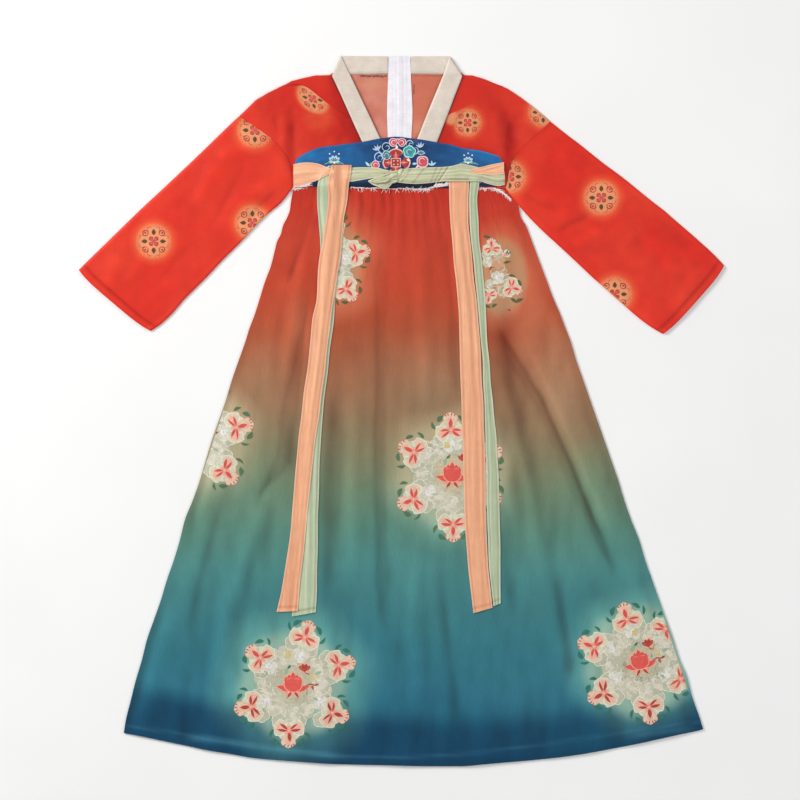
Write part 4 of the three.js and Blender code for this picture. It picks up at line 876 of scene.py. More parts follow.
def build_back(name, arm, neck, shoulder, outl, centre, ghost_at):
    side = 1.0 if arm[0][0] < 401 else -1.0
    armp, out = np.array(arm), np.array(outl)
    # flat part: columns across from the centre back to the armhole
    xs = np.linspace(centre, arm[0][0] + side * 3, 60)
    low, high = [], []
    for x in xs:
        a = armp[np.argsort(armp[:, 0])]
        lo = 188.3 if (x - armp[-1, 0]) * side > 0 else float(np.interp(x, a[:, 0], a[:, 1]))
        o = out[np.argsort(out[:, 0])]
        hi = float(np.interp(x, o[:, 0], o[:, 1]))
        low.append(lo)
        high.append(max(hi, 72.0) + 0.4 if (x - (332 if side > 0 else 462)) * side < 0 else 73.0)
    q = np.linspace(0, 1, 56)
    X = PX(xs)[None, :] + 0 * q[:, None]
    Y = PY(np.array(low)[None, :] + (np.array(high) - np.array(low))[None, :] * q[:, None])
    e = np.abs(Y - Y[-1:, :])
    lift = np.where((xs - (336 if side > 0 else 458)) * side < 0, 1.0, 0.0)[None, :]
    r = 1.7
    zo = r - r * np.sqrt(np.clip(1 - (1 - np.clip(e / r, 0, 1)) ** 2, 0, 1)) * 1.0
    zo = zo * lift
    Z1 = np.maximum(0.85 + 0.12 * waves(X, Y, 18, 61), zo + 0.7)
    Z0 = np.maximum(zo, 0.02)
    gx, gy = ghost_at
    ghost = np.exp(-(((X - PX(gx)) / 17) ** 2 + ((Y - PY(gy)) / 11) ** 2))
    flat = (np.stack([X, Y, Z1], -1), np.stack([X, Y, np.minimum(Z0, Z1 - 0.3)], -1), 1, 0, {"ghost": ghost})
    # the part that comes over the shoulder to the forward seam
    n = 64
    S = along(P([shoulder[3], shoulder[2], shoulder[1], shoulder[0]]), n)
    T_ = P([shoulder[3], neck[2], neck[1], neck[0]] + [p for p in reversed(outl) if (p[0] - shoulder[0][0]) * side > 0 and (p[0] - neck[0][0]) * side < 0] + [shoulder[0]])
    s = np.concatenate([[0], np.cumsum(np.linalg.norm(np.diff(T_, axis=0), axis=1))])
    tt = np.linspace(0, 1, n)
    T = np.stack([np.interp(tt * s[-1], s, T_[:, k]) for k in range(2)], 1)
    onneck = smooth((s[3] + 4 - tt * s[-1]) / 6)          # 1 beside the collar, 0 along the outline
    tuck = onneck[:, None] * np.array([[side * 6.0, 2.0]])
    q = np.linspace(0, 1, 26)[:, None, None]
    G = S[None] * (1 - q) + (T + tuck)[None] * q
    X, Y = G[..., 0], G[..., 1]
    de = np.linalg.norm(G - T[None], axis=2)
    rr = np.sqrt(np.clip(1 - (1 - np.clip(de / 2.4, 0, 1)) ** 2, 0, 1))
    ds = np.linalg.norm(G - S[None], axis=2)
    Zf = 3.9 + 0.25 * waves(X, Y, 16, 71) * smooth(ds / 9)
    Z = np.where(onneck[None, :] > 0.5, Zf, 1.7 + (Zf - 1.7) * rr)
    dn = line_distance(X, Y, neck)
    shade = -0.12 - 0.85 * shade_chains(X, Y, BODICE_SHADES) - 0.3 * np.exp(-(dn / 6.0) ** 1.5) \
        - (0.2 if side > 0 else 0.0) * np.exp(-(ds / 1.4) ** 2)
    # the seam attribute is a painted shadow line along the collar's outer edge
    flap = (np.stack([X, Y, Z], -1), np.stack([X, Y, Z - 0.75], -1), 0, 1,
            {"shade": np.clip(shade, -1, 1), "seam": np.exp(-(dn / 1.8) ** 2)})
    return joined(name, [flat, flap], [RED, INSIDE])

front_skirt, back_skirt = build_skirt()
sleeve_r = build_sleeve("sleeve_right", SLEEVE_R_UP, SLEEVE_R_LO, ARM_R, 0)
sleeve_l = build_sleeve("sleeve_left", SLEEVE_L_UP, SLEEVE_L_LO, ARM_L, 5)
back_r = build_back("bodice_back_right", ARM_R, NECK_R, SHOULDER_R, OUT_R, 399.2, (372, 85))
back_l = build_back("bodice_back_left", ARM_L, NECK_L, SHOULDER_L, OUT_L, 398.8, (424, 128))
front_r = build_front("bodice_front_right", ARM_R, NECK_R, SHOULDER_R, OUT_R, 399.0, 41)
front_l = build_front("bodice_front_left", ARM_L, NECK_L, SHOULDER_L, OUT_L, 399.4, 51)

# ------------------------------------------------------------------ collar and zip tape
COLLAR_R_FRONT = [((341, 56), (332, 76)), ((345, 64.5), (335, 82.5)), ((349.6, 74), (339.5, 92)), ((357, 89.6), (345.5, 105.5)),
                  ((368, 112.7), (353.5, 123.3)), ((380.3, 138.7), (362, 142)), ((383, 144), (363.5, 145.5))]
COLLAR_L_FRONT = [((449.7, 56.5), (462.4, 76)), ((447, 64), (459.6, 84)), ((444, 73), (456, 93)), ((437.5, 89), (450.5, 107.5)),
                  ((428, 112), (444.5, 123)), ((417.3, 138.7), (437.5, 141.2)), ((415, 144), (436.2, 144.6))]

def build_collar(name, fronts, inner_x, side):
    W = 22
    t = np.linspace(0, 1, W)
    free = along(P([f for f, _ in fronts]), 90)
    sewn = along(P([s for _, s in fronts]), 90)
    G = sewn[:, None, :] + (free - sewn)[:, None, :] * t[None, :, None]
    X, Y = G[..., 0], G[..., 1]
    width = np.linalg.norm(free - sewn, axis=1)[:, None]
    d = np.minimum(t, 1 - t)[None, :] * width
    v = np.linspace(0, 1, 90)[:, None]
    rr = np.sqrt(np.clip(1 - (1 - np.clip(d / 2.0, 0, 1)) ** 2, 0, 1))
    base = 4.0 + 0.9 * (1 - smooth(v / 0.12))
    Z = base + 1.5 * rr + 0.35 * np.sin(PI * t)[None, :] + 0.18 * waves(X, Y, 22, 81)
    Z = Z - 0.06 * np.exp(-(((t[None, :]) * width - 3.2) / 0.9) ** 2)
    e = v * 120
    Z = 1.9 + (Z - 1.9) * np.sqrt(np.clip(1 - (1 - np.clip(e / 2.6, 0, 1)) ** 2, 0, 1))
    U = np.stack([X, Y, np.minimum(Z - 0.5, base - 0.05 - 1.2 * (1 - np.clip(e / 3, 0, 1)))], -1)
    sew = t[None, :] * width
    shade = 0.3 * np.exp(-((sew - 1.2) / 1.2) ** 2) - 0.08 * np.exp(-((sew - 3.6) / 1.0) ** 2) + 0.55 * np.exp(-((width - sew - 1.2) / 1.3) ** 2) + 0 * X
    front = (np.stack([X, Y, Z], -1), U, 0, 0, {"shade": shade})
    # back neck part, inside of the collar seen, from the fold to the zip tape
    top = along(P([fronts[0][0], (inner_x, 56.4)]), 40)
    bot = along(P([fronts[0][1], (fronts[0][1][0] + side * 10, 74.8), (inner_x, 74.2)]), 40)
    G = bot[:, None, :] + (top - bot)[:, None, :] * t[None, :, None]
    X, Y = G[..., 0], G[..., 1]
    width = np.linalg.norm(top - bot, axis=1)[:, None]
    d = np.minimum(t, 1 - t)[None, :] * width
    rr = np.sqrt(np.clip(1 - (1 - np.clip(d / 1.6, 0, 1)) ** 2, 0, 1))
    Z = 1.2 + 1.1 * rr + 0.15 * waves(X, Y, 20, 83)
    away = np.linspace(0, 1, 40)[:, None] * np.linalg.norm(top[-1] - top[0])
    Z = Z + 1.3 * (1 - smooth(away / 22)) * rr
    U = np.full_like(Z, 0.1)
    sew = t[None, :] * width
    shade = -0.5 * np.exp(-(sew / 1.2) ** 2) - 0.3 * np.exp(-((sew - 3.0) / 0.8) ** 2) + 0 * X
    back = (np.stack([X, Y, Z], -1), np.stack([X, Y, U], -1), 0, 0, {"shade": shade})
    return joined(name, [front, back], [COLLAR])

collar_r = build_collar("collar_right", COLLAR_R_FRONT, 387.8, 1)
collar_l = build_collar("collar_left", COLLAR_L_FRONT, 410.8, -1)

def build_tape():
    v = np.linspace(0, 1, 60)
    py = 56.5 + (180 - 56.5) * v
    l = pchip([56.5, 80, 115, 137, 180], [388.6, 388.0, 387.0, 387.8, 388.5], py)
    r = pchip([56.5, 80, 115, 137, 180], [410.2, 411.0, 412.4, 411.4, 410.5], py)
    t = np.linspace(0, 1, 33)
    X = PX(l[:, None] + (r - l)[:, None] * t[None, :])
    Y = PY(py)[:, None] + 0 * X
    c = np.abs(t - 0.5)[None, :] * (r - l)[:, None] * K
    Z = 2.0 + 0.5 * np.exp(-(c / 3.4) ** 2) - 0.15 * np.exp(-((c - 5.0) / 1.2) ** 2) + 0.08 * waves(X, Y, 12, 91)
    shade = -0.16 * np.exp(-((c - 4.6) / 0.9) ** 2) - 0.12 * np.exp(-((c) / 0.6) ** 2) - 0.12 * np.exp(-((c - 10) / 0.8) ** 2)
    return shell("zip_tape", np.stack([X, Y, Z], -1), [TAPE], 0.8, straight=True, attrs={"shade": shade})
tape = build_tape()

# ------------------------------------------------------------------ chest band
BAND_TOP = [(293.4, 170), (296, 160), (303, 155), (311, 150.8), (320, 147.8), (336, 145.6), (351, 143.6), (363, 142.2),
            (380, 139), (396, 137), (411, 138.6), (427, 141), (437, 142.8), (451, 145), (463, 148.6), (480, 151), (491, 154),
            (499.5, 157.5), (503.5, 166)]
def build_band():
    xs = np.linspace(293.8, 503.2, 130)
    up = pchip([a for a, _ in BAND_TOP], [b for _, b in BAND_TOP], xs)
    lo = pchip([293, 320, 350, 400, 450, 480, 504], [187.5, 187, 188.2, 188.8, 188.2, 187.2, 186.5], xs)
    q = np.linspace(0, 1, 44)
    X = PX(xs)[None, :] + 0 * q[:, None]
    Y = PY(up[None, :] + (lo - up)[None, :] * q[:, None])
    under = Surface(front_r, front_l, collar_r, collar_l, tape, front_skirt)
    base = under.grid(X, Y, 1.0) + 0.35
    base = settle(base, 40)
    d = np.minimum(np.minimum(Y - Y[-1:, :], Y[:1, :] - Y), np.minimum(X - X[:, :1], X[:, -1:] - X))
    fold = fold_field(X, Y, [
        (0.9, 6, 7, 1.7, 0.3, [(304, 161), (330, 158), (352, 160)]), (-0.8, 5, 5, 1.5, 0.3, [(300, 165), (322, 163.5), (342, 165)]),
        (0.7, 7, 7, 1.8, 0.3, [(432, 152), (452, 158), (474, 160)]), (0.8, 6, 6, 1.7, 0.3, [(468, 156), (486, 160), (499, 164)]),
        (-0.7, 5, 5, 1.5, 0.3, [(428, 160), (446, 163), (460, 164)]), (-0.6, 8, 8, 1.6, 0.3, [(352, 148), (356, 160), (352, 172)]),
    ])
    Z = base + WALL + 0.7 * smooth(d / 9) + fold * smooth(d / 6) + 0.18 * waves(X, Y, 14, 101, (1.8, 1))
    # painted shadow over the lower part of the band under the belt, and a painted highlight along its upper edge
    shade = relief(Z, 8, 0.8) - 0.95 * smooth((15 - (Y - Y[-1:, :])) / 9)
    shade = shade + 0.6 * np.exp(-((Y[:1, :] - Y - 1.2) / 1.1) ** 2)
    top = np.stack([X, Y, Z], -1)
    und = np.stack([X, Y, np.minimum(base, Z - 0.75)], -1)
    return shell("chest_band", top, [BLUE], under=und, attrs={"shade": np.clip(shade, -1, 1)})
band = build_band()

# ------------------------------------------------------------------ ribbons
# Hanging ends: level, left and right edge.
TIE_GREEN_R = [(342, -101, -97), (334, -108, -95), (326, -113, -94), (317.6, -116.2, -93.4), (306, -117.6, -92.5), (294.7, -117.4, -92.0),
               (266.7, -115.0, -90.4), (238.7, -113.4, -88.6), (210.7, -113.0, -88.4), (182.7, -114.6, -90.8),
               (154.7, -115.6, -92.0), (126.7, -118.0, -94.0), (84.7, -122.0, -99.0), (42.7, -128.0, -104.0),
               (0.7, -133.0, -109.0), (-41.3, -136.0, -112.0), (-83.3, -138.0, -114.0), (-125.3, -140.4, -115.4),
               (-167.3, -141.4, -116.4), (-209.3, -142.4, -117.0), (-245.0, -144.4, -117.6), (-285.0, -152.6, -119.4)]
TIE_PEACH_R = [(343.0, -96.6, -69.0), (330.0, -99.6, -70.0), (317.6, -102.6, -72.4), (294.7, -101.4, -74.6),
               (266.7, -104.6, -79.6), (238.7, -109.4, -82.4), (210.7, -114.6, -85.0), (182.7, -116.4, -89.6),
               (154.7, -118.0, -94.0), (126.7, -124.0, -98.0), (84.7, -128.0, -103.4), (42.7, -133.2, -107.8),
               (0.7, -138.6, -113.4), (-41.3, -143.6, -119.6), (-83.3, -147.6, -124.6), (-125.3, -150.8, -129.0),
               (-167.3, -154.4, -133.0), (-209.3, -160.2, -137.2), (-245.0, -166.0, -141.6), (-281.0, -173.6, -144.2)]
TIE_PEACH_L = [(326, 66.4, 93.6), (317.6, 66.8, 95.0), (294.7, 67.2, 93.8), (266.7, 68.6, 93.8), (238.7, 71.4, 96.6),
               (210.7, 73.2, 99.4), (182.7, 77.0, 102.2), (154.7, 78.6, 105.0), (126.7, 81.0, 107.8), (84.7, 82.2, 111.4),
               (42.7, 83.6, 113.2), (0.7, 84.6, 115.4), (-41.3, 86.0, 116.4), (-83.3, 87.4, 118.2), (-125.3, 88.0, 118.2),
               (-167.3, 89.8, 119.4), (-209.3, 92.8, 121.0), (-245.0, 96.6, 124.6), (-279.5, 101.4, 128.8)]
TIE_GREEN_L = [(326, 97.0, 111.0), (317.6, 96.4, 109.4), (294.7, 95.4, 106.6), (266.7, 95.4, 107.8), (238.7, 98.2, 109.6),
               (210.7, 101.0, 112.6), (182.7, 103.8, 115.4), (154.7, 106.6, 117.8), (126.7, 109.4, 119.4),
               (84.7, 113.0, 121.8), (42.7, 114.8, 125.4), (0.7, 117.0, 129.4), (-41.3, 118.0, 133.4),
               (-83.3, 119.8, 136.2), (-125.3, 119.8, 137.4), (-167.3, 121.0, 138.2), (-209.3, 122.6, 139.0),
               (-245.0, 126.2, 139.2), (-271.5, 129.4, 139.6)]

def build_tie(name, table, under, mat, slant, seed, push=0.0):
    table = np.array(table)
    C, R = 19, 190
    t = np.linspace(0, 1, C)
    q = np.linspace(0, 1, R)
    y0, y1 = table[0, 0], table[-1, 0]
    Y = (y0 + (y1 - y0) * q)[:, None] + slant * (t[None, :] - 0.5) * smooth((q[:, None] - 0.9) / 0.1)
    l = pchip(table[:, 0], table[:, 1], Y)
    r = pchip(table[:, 0], table[:, 2], Y)
    wob = 0.5 * waves(0 * Y, Y, 34, seed)
    X = l + (r - l) * t[None, :] + wob
    base = under.grid(X, Y, 1.2) + 0.35 + push * smooth((Y - 306) / 6)
    base = settle(base, 36)
    w = (r - l)
    d = np.minimum(t, 1 - t)[None, :] * w
    rng = np.random.RandomState(seed)
    fold = 0.0
    for _ in range(4):
        c0, c1 = rng.uniform(0.15, 0.85, 2)
        a0, a1 = sorted(rng.uniform(0, 1, 2))
        hgt = rng.uniform(0.5, 1.0) * rng.choice([-1, 1])
        cc = c0 + (c1 - c0) * q[:, None]
        fold = fold + hgt * np.exp(-((t[None, :] - cc) / 0.16) ** 2) * smooth((q[:, None] - a0 + 0.1) / 0.15) * smooth((a1 + 0.25 - q[:, None]) / 0.15)
    crown = 0.9 * smooth(d / 7)
    Z = base + 0.85 + crown + fold * smooth(d / 5) * 0.9 + 0.25 * waves(X, Y, 20, seed + 3, (1, 2)) * smooth(d / 3)
    edge = np.exp(-(d / 1.2) ** 2)
    shade = relief(Z, 6, 0.9) - 0.5 * np.exp(-((d - 3.0) / 0.8) ** 2)
    end = np.abs(Y - Y[-1:, :])
    shade = shade - 0.6 * np.exp(-((end - 7.0) / 1.0) ** 2)
    Z = Z - 0.25 * np.exp(-((end - 7.0) / 1.4) ** 2) + 0.2 * np.exp(-((end - 3.0) / 2.4) ** 2)
    top = np.stack([X, Y, Z], -1)
    return shell(name, top, [mat], under=np.stack([X, Y, np.minimum(Z - 0.6, base + 0.5 * crown + 0.2)], -1),
                 attrs={"shade": np.clip(shade, -1, 1), "edge": edge})

ground_all = Surface(front_skirt, band, front_r, front_l)
tie_gr = build_tie("tie_green_right", TIE_GREEN_R, ground_all, GREEN_V, 6.0, 201, 2.4)
tie_pl = build_tie("tie_peach_left", TIE_PEACH_L, ground_all, PEACH_V, 7.5, 221, 0.0)
tie_gl = build_tie("tie_green_left", TIE_GREEN_L, ground_all, GREEN_V, 4.0, 231, 0.0)

# ------------------------------------------------------------------ belt
def strap(name, top_pts, bot_pts, x0, x1, under, mat, seed, lift=0.0, steps=None, rows=24, cols=None, pleats=5, crown=1.6,
          push=0.35, edge_tint=1.0, extra=None, rise=None):
    n = cols or max(24, int(abs(x1 - x0) * 1.3))
    xs = np.linspace(x0, x1, n)
    up = pchip([a for a, _ in top_pts], [b for _, b in top_pts], xs)
    lo = pchip([a for a, _ in bot_pts], [b for _, b in bot_pts], xs)
    t = np.linspace(0, 1, rows)
    X = PX(xs)[None, :] + 0 * t[:, None]
    Y = PY(up[None, :] + (lo - up)[None, :] * t[:, None])
    base = settle(under.grid(X, Y, 3.0), 50) + push
    w = np.abs(Y[:1] - Y[-1:])
    d = np.minimum(t, 1 - t)[:, None] * w
    rng = np.random.RandomState(seed)
    fold = 0.0
    g = np.linspace(0, 1, n)[None, :]
    for _ in range(pleats):
        c0, c1 = rng.uniform(0.12, 0.88, 2)
        cc = c0 + (c1 - c0) * g
        fold = fold + rng.uniform(0.5, 1.05) * rng.choice([-1, 1]) * np.exp(-((t[:, None] - cc) / rng.uniform(0.07, 0.14)) ** 2)
    Z = base + lift + 0.9 + crown * smooth(d / 8) + fold * smooth(d / 3.5) + 0.2 * waves(X, Y, 12, seed + 1)
    if rise is not None:
        Z = Z + rise(X / K + 401, 410.5 - Y / K)
    shade = relief(Z, 5, 0.8) - 0.25 * np.exp(-((d - 2.2) / 0.8) ** 2)
    if extra is not None:
        shade = shade + extra(X / K + 401, 410.5 - Y / K)
    edge = np.exp(-(d / 1.1) ** 2) * edge_tint
    top = np.stack([X, Y, Z], -1)
    return shell(name, top, [mat] if not isinstance(mat, list) else mat,
                 under=np.stack([X, Y, np.minimum(Z - 0.6, base + 0.1 + 0.5 * crown * smooth(d / 8))], -1),
                 attrs={"shade": np.clip(shade, -1, 1), "edge": edge})

on_band = Surface(band, front_skirt, tie_gr)
belt_pr = strap("belt_peach_right", [(293.6, 164.6), (300, 163.4), (307, 162.8), (317, 163.8), (326, 167.3), (334, 170.5)],
                [(293.6, 188.2), (300, 186.2), (307, 184.2), (317, 181), (326, 176.5), (334, 174)], 293.6, 334, on_band, PEACH_H,
                301, pleats=3, crown=1.3)
on_belt = Surface(band, front_skirt, tie_gr, belt_pr, front_r)
# the green end starts above the peach strap's end, and the peach end hangs over both
belt_gr = strap("belt_green_right", [(344, 168.2), (352, 168), (362, 167.6), (374, 167.8), (384, 169.8), (392, 172), (397, 174.4)],
                [(344, 182.4), (352, 182), (358, 181), (366, 179.6), (376, 178), (386, 177), (392, 176.6), (397, 176)], 344, 397,
                on_belt, GREEN_H, 311, pleats=5, crown=1.7)
on_green = Surface(band, front_skirt, tie_gr, belt_pr, belt_gr)
tie_pr = build_tie("tie_peach_right", TIE_PEACH_R, on_green, PEACH_V, 1.0, 211, 0.0)

on_ties = Surface(band, front_skirt, tie_pl, tie_gl)
def wrap_edge(px, py):
    line = 447.5 - (py - 168) * 0.66
    return 1.3 * smooth((px - line) / 1.6) * (1 - smooth((px - line - 34) / 18)) * 1.0
def wrap_shade(px, py):
    line = 447.5 - (py - 168) * 0.66
    line2 = 442.0 - (py - 168) * 0.55
    turn = 0.0
    for x0, x1 in ((411, 402), (424, 414), (436, 431)):
        turn = turn - 0.45 * np.exp(-((px - (x0 + (x1 - x0) * (py - 169) / 13)) / 0.9) ** 2)
    return turn - 0.8 * np.exp(-((px - line) / 0.8) ** 2) - 0.5 * np.exp(-((px - line2) / 0.8) ** 2) - 0.5 * np.exp(-((py - 179.6) / 0.9) ** 2) * smooth((px - 444) / 6) * smooth((472 - px) / 6)
belt_gl_main = strap("belt_green_left_main",
                     [(392, 171.6), (400, 170), (407, 168.9), (427, 167.9), (441, 167.4), (451, 166.6), (461, 164.4), (468, 165.4), (479, 168),
                      (487, 170), (496, 171.6), (504.6, 172)],
                     [(392, 181.6), (400, 183.2), (415, 184.4), (430, 183.4), (437, 182.4), (447, 181.8), (470, 181.8), (480, 182), (487, 184), (499, 186.4),
                      (504.6, 185)], 392, 504.6, on_ties, GREEN_H, 321, pleats=7, crown=1.5, cols=170, rise=wrap_edge, extra=wrap_shade)
on_belt2 = Surface(band, front_skirt, belt_gl_main)
belt_pl = strap("belt_peach_left", [(471, 169.6), (479, 168), (491, 165), (503.4, 162.6)], [(471, 173.6), (480, 175), (492, 175.4), (504.4, 174.6)],
                471, 503.8, on_belt2, PEACH_H, 331, pleats=2, crown=1.0, push=0.25, rows=16)

# the knot's twist: crushed lobes of the green ribbon lying over one another
def lobe(c, ax, ay, turn, z0, high, seed, n=26, m=18, pleat=3, point=0.0):
    u = np.linspace(-1, 1, n)[:, None]
    v = np.linspace(-1, 1, m)[None, :]
    half = np.sqrt(np.clip(1 - np.abs(u) ** 2.4, 0.0, 1)) * (1 - point * 0.5 * (u + 1)) + 0.02
    a = u * ax
    b = v * half * ay
    rng = np.random.RandomState(seed)
    bend = rng.uniform(-0.12, 0.12) * ax * (u ** 2)
    ca, sa = math.cos(turn), math.sin(turn)
    x = PX(c[0]) + a * ca - (b + bend) * sa
    y = PY(c[1]) + a * sa + (b + bend) * ca
    fold = 0.0
    for k in range(pleat):
        cc = rng.uniform(-0.6, 0.6)
        sl = rng.uniform(-0.3, 0.3)
        fold = fold + rng.uniform(0.5, 1.0) * rng.choice([-1, 1]) * np.exp(-((v - cc - sl * u) / 0.22) ** 2)
    dome = np.sqrt(np.clip(1 - (v * 0.98) ** 2, 0, 1)) * np.sqrt(np.clip(1 - (u * 0.98) ** 2, 0, 1))
    z = z0 + high * dome + fold * dome * 0.8 + 0 * x
    top = np.stack([x + 0 * z, y + 0 * z, z], -1)
    und = top.copy()
    und[..., 2] = np.minimum(z0 + 0.55 * high * dome - 0.5, z - 0.5)
    shade = np.clip(fold * 0.9, -1, 0.6) - 0.5 * (1 - dome) ** 2
    return (top, und, 0, 0, {"shade": np.clip(shade, -1, 1), "edge": np.exp(-((1 - np.abs(v)) / 0.14) ** 2) * 0.8 + 0 * x})

LOBES = [
    lobe((397.6, 176.6), 12.5, 4.8, math.radians(54), 8.4, 2.8, 404, pleat=2),
    lobe((403.6, 176.0), 11.5, 4.2, math.radians(50), 7.9, 2.4, 405, pleat=2),
    lobe((384.0, 177.6), 11.0, 3.0, math.radians(22), 8.8, 2.4, 406, pleat=2),
]
twist = joined("belt_twist", LOBES, [GREEN_H])
def fan_lift(px, py):
    return 1.6 * smooth((px - 369) / 7) * (1 - 0.5 * smooth((px - 390) / 7))
def fan_shade(px, py):
    # folds run from the tip at the lower left up into the turn
    shade = 0.0
    for k, (x0, y0, x1, y1) in enumerate(((370, 182.0, 392, 174.2), (371, 183.4, 393, 178.2), (375, 185.4, 393, 181.4), (380, 187.4, 391, 184.6))):
        t = (px - x0) / (x1 - x0)
        shade = shade - (0.75, 0.5, 0.6, 0.45)[k] * np.exp(-((py - (y0 + (y1 - y0) * t)) / 0.55) ** 2) * smooth(t / 0.15) * smooth((1 - t) / 0.15)
    return shade
belt_fan = strap("belt_fan", [(368.2, 181.0), (374, 178.8), (380, 176.4), (387, 174.4), (392, 172.2), (397, 171.0)],
                 [(368.2, 182.0), (373, 185.2), (378.5, 187.4), (385.6, 189.6), (389.5, 187.0), (393, 183.6), (397, 182.4)], 368.2, 397,
                 Surface(band, front_skirt, belt_gr, belt_gl_main), GREEN_H, 341, pleats=8, crown=1.5, rows=34, cols=80, rise=fan_lift, extra=fan_shade)

def join_objects(main, *others):
    for o in others:
        bpy.ops.object.select_all(action="DESELECT")
        o.select_set(True)
        main.select_set(True)
        bpy.context.view_layer.objects.active = main
        bpy.ops.object.join()
    return main
belt_gl_main.name = "belt_green_left_cloth"
belt_gl = join_objects(belt_gl_main, belt_fan, twist)
belt_gl.data.name = "belt_green_left"

# ------------------------------------------------------------------ frayed trim
def build_trim():
    rng = np.random.RandomState(77)
    under = Surface(front_skirt, band, tie_gr)
    V, F, at = [], [], 0
    def strand(pts, w0, w1):
        nonlocal at
        pts = np.asarray(pts, float)
        n = len(pts)
        ring = []
        for i, p in enumerate(pts):
            t = i / (n - 1)
            w = w0 + (w1 - w0) * t
            dvec = pts[min(i + 1, n - 1)] - pts[max(i - 1, 0)]
            dvec = dvec / (np.linalg.norm(dvec) + 1e-9)
            s = np.cross(dvec, [0, 0, 1.0])
            s = s / (np.linalg.norm(s) + 1e-9)
            up = np.cross(s, dvec)
            for a in range(5):
                an = a * 2 * PI / 5
                ring.append(p + (s * math.cos(an) + up * math.sin(an)) * w)
        V.extend(ring)
        for i in range(n - 1):
            for a in range(5):
                b = (a + 1) % 5
                F.append((at + i * 5 + a, at + i * 5 + b, at + (i + 1) * 5 + b, at + (i + 1) * 5 + a))
        F.append(tuple(at + a for a in range(4, -1, -1)))
        F.append(tuple(at + (n - 1) * 5 + a for a in range(5)))
        at += n * 5
    def tuft(px, py, ang, long, w, lift=0.4):
        x, y = float(PX(px)), float(PY(py))
        n = 7
        pts = []
        bend = rng.uniform(-0.9, 0.9)
        a = ang
        for i in range(n):
            z = under.z(x, y, 1.0) + 0.45 + lift * math.sin(PI * i / (n - 1)) + 0.25
            pts.append((x, y, z))
            a += bend / (n - 1)
            x += math.cos(a) * long / (n - 1)
            y += math.sin(a) * long / (n - 1)
        strand(pts, w, w * 0.45)
    # edges: (x, y, how dense, length, thickness)
    line = [(292.5, 188.5), (300, 187.2), (309, 184.8), (318, 184.4), (330, 187.4), (350, 187.6), (366, 188.6), (380, 188.4), (395, 189.2), (404, 188.8),
            (420, 189.4), (430, 188.6), (437, 187.0), (447, 186.0), (458, 186.4), (478, 187.2), (484, 188.8), (492, 187.8), (499, 190.2), (505, 194.6), (511, 200.4)]
    xs, ys = [a for a, _ in line], [b for _, b in line]
    # a twisted selvedge thread along the edge
    for k in range(9):
        x0_, x1_ = ((293, 308.5), (351, 446), (479, 511))[k % 3]
        k = k // 3
        pts = []
        for px in np.arange(x0_, x1_, 1.1):
            py = np.interp(px, xs, ys) + 0.35 * math.sin(px * 1.5 + k * 2.1) + 0.25 * math.sin(px * 0.53 + k)
            x, y = float(PX(px)), float(PY(py))
            pts.append((x, y, under.z(x, y, 1.0) + 0.55 + 0.25 * math.cos(px * 1.5 + k * 2.1)))
        strand(pts, 0.36, 0.36)
    def dense(x0, x1, n, long, w, off=0.0, ang=(-2.6, -0.5)):
        for _ in range(n):
            px = rng.uniform(x0, x1)
            py = np.interp(px, xs, ys) + rng.uniform(-1.0, 1.0) + off
            tuft(px, py, rng.uniform(*ang), rng.uniform(0.5, 1.0) * long, rng.uniform(0.7, 1.1) * w)
    dense(292.6, 309, 120, 6.0, 0.42, -0.3, (-0.2, 0.9))
    dense(292.6, 309, 60, 4.5, 0.40, 0.4, (-2.8, 0.2))
    for px in (358, 361.5, 371.5, 374, 384.5, 388.5, 397, 404, 408.5, 413, 421, 424.5, 429):
        for a in (-1.1, -1.9):
            tuft(px + rng.uniform(-0.4, 0.4), np.interp(px, xs, ys) - 0.3, a + rng.uniform(-0.25, 0.25), rng.uniform(4.5, 8.0), 0.5)
    dense(350, 436, 26, 4.0, 0.30)
    dense(404, 432, 46, 6.0, 0.34, 0.2, (-0.9, 0.9))
    dense(433, 447, 90, 5.2, 0.50, -1.6, (-0.6, 0.9))
    dense(478, 500, 70, 5.0, 0.36)
    dense(494, 511, 80, 6.0, 0.44, 0.0, (-1.2, -0.2))
    dense(470, 481, 8, 2.5, 0.4, -6.0, (-1.5, 1.5))
    me = put_mesh("band_trim", np.array(V), F, [WHITE], None, {"shade": np.zeros(len(V))}, 80)
    return me
trim = build_trim()

# ------------------------------------------------------------------ printed flowers
# The prints are drawn here from petals, leaves and strokes, in layout units round a centre with y up,
# and laid on the cloth as thin dyed films that follow its folds.
def T(pts, x=0.0, y=0.0, turn=0.0, s=1.0):
    c, n = math.cos(turn), math.sin(turn)
    p = np.asarray(pts, float) * s
    return np.stack([p[:, 0] * c - p[:, 1] * n + x, p[:, 0] * n + p[:, 1] * c + y], 1)

def petal(L, W, tip=0.75, wave=0.0, n=13):
    """From the origin along +x; fuller towards the far end as tip falls; wave scallops its rim."""
    t = np.linspace(0, 1, n)
    w = W / 2 * np.sin(PI * t ** (1 / tip)) ** 0.8
    if wave:
        w = w * (1 + wave * np.abs(np.sin(t * PI * 3.2)))
    a = np.stack([t * L, w], 1)
    b = np.stack([t * L, -w], 1)[::-1][1:-1]
    return np.concatenate([a, b])

def leaf(L, W, bend=0.0, n=9):
    t = np.linspace(0, 1, n)
    w = W / 2 * np.sin(PI * t ** 0.85)
    c = bend * np.sin(PI * t)
    return np.concatenate([np.stack([t * L, c + w], 1), np.stack([t * L, c - w], 1)[::-1][1:-1]])

def bloom(r, lobes, depth=0.22, turn=0.0, squash=1.0, n=None):
    """Closed outline with rounded lobes."""
    n = n or lobes * 8
    a = np.linspace(0, 2 * PI, n, endpoint=False)
    k = r * (1 - depth + depth * np.abs(np.cos(lobes * (a - turn) / 2)) ** 0.7)
    return np.stack([k * np.cos(a), k * np.sin(a) * squash], 1)

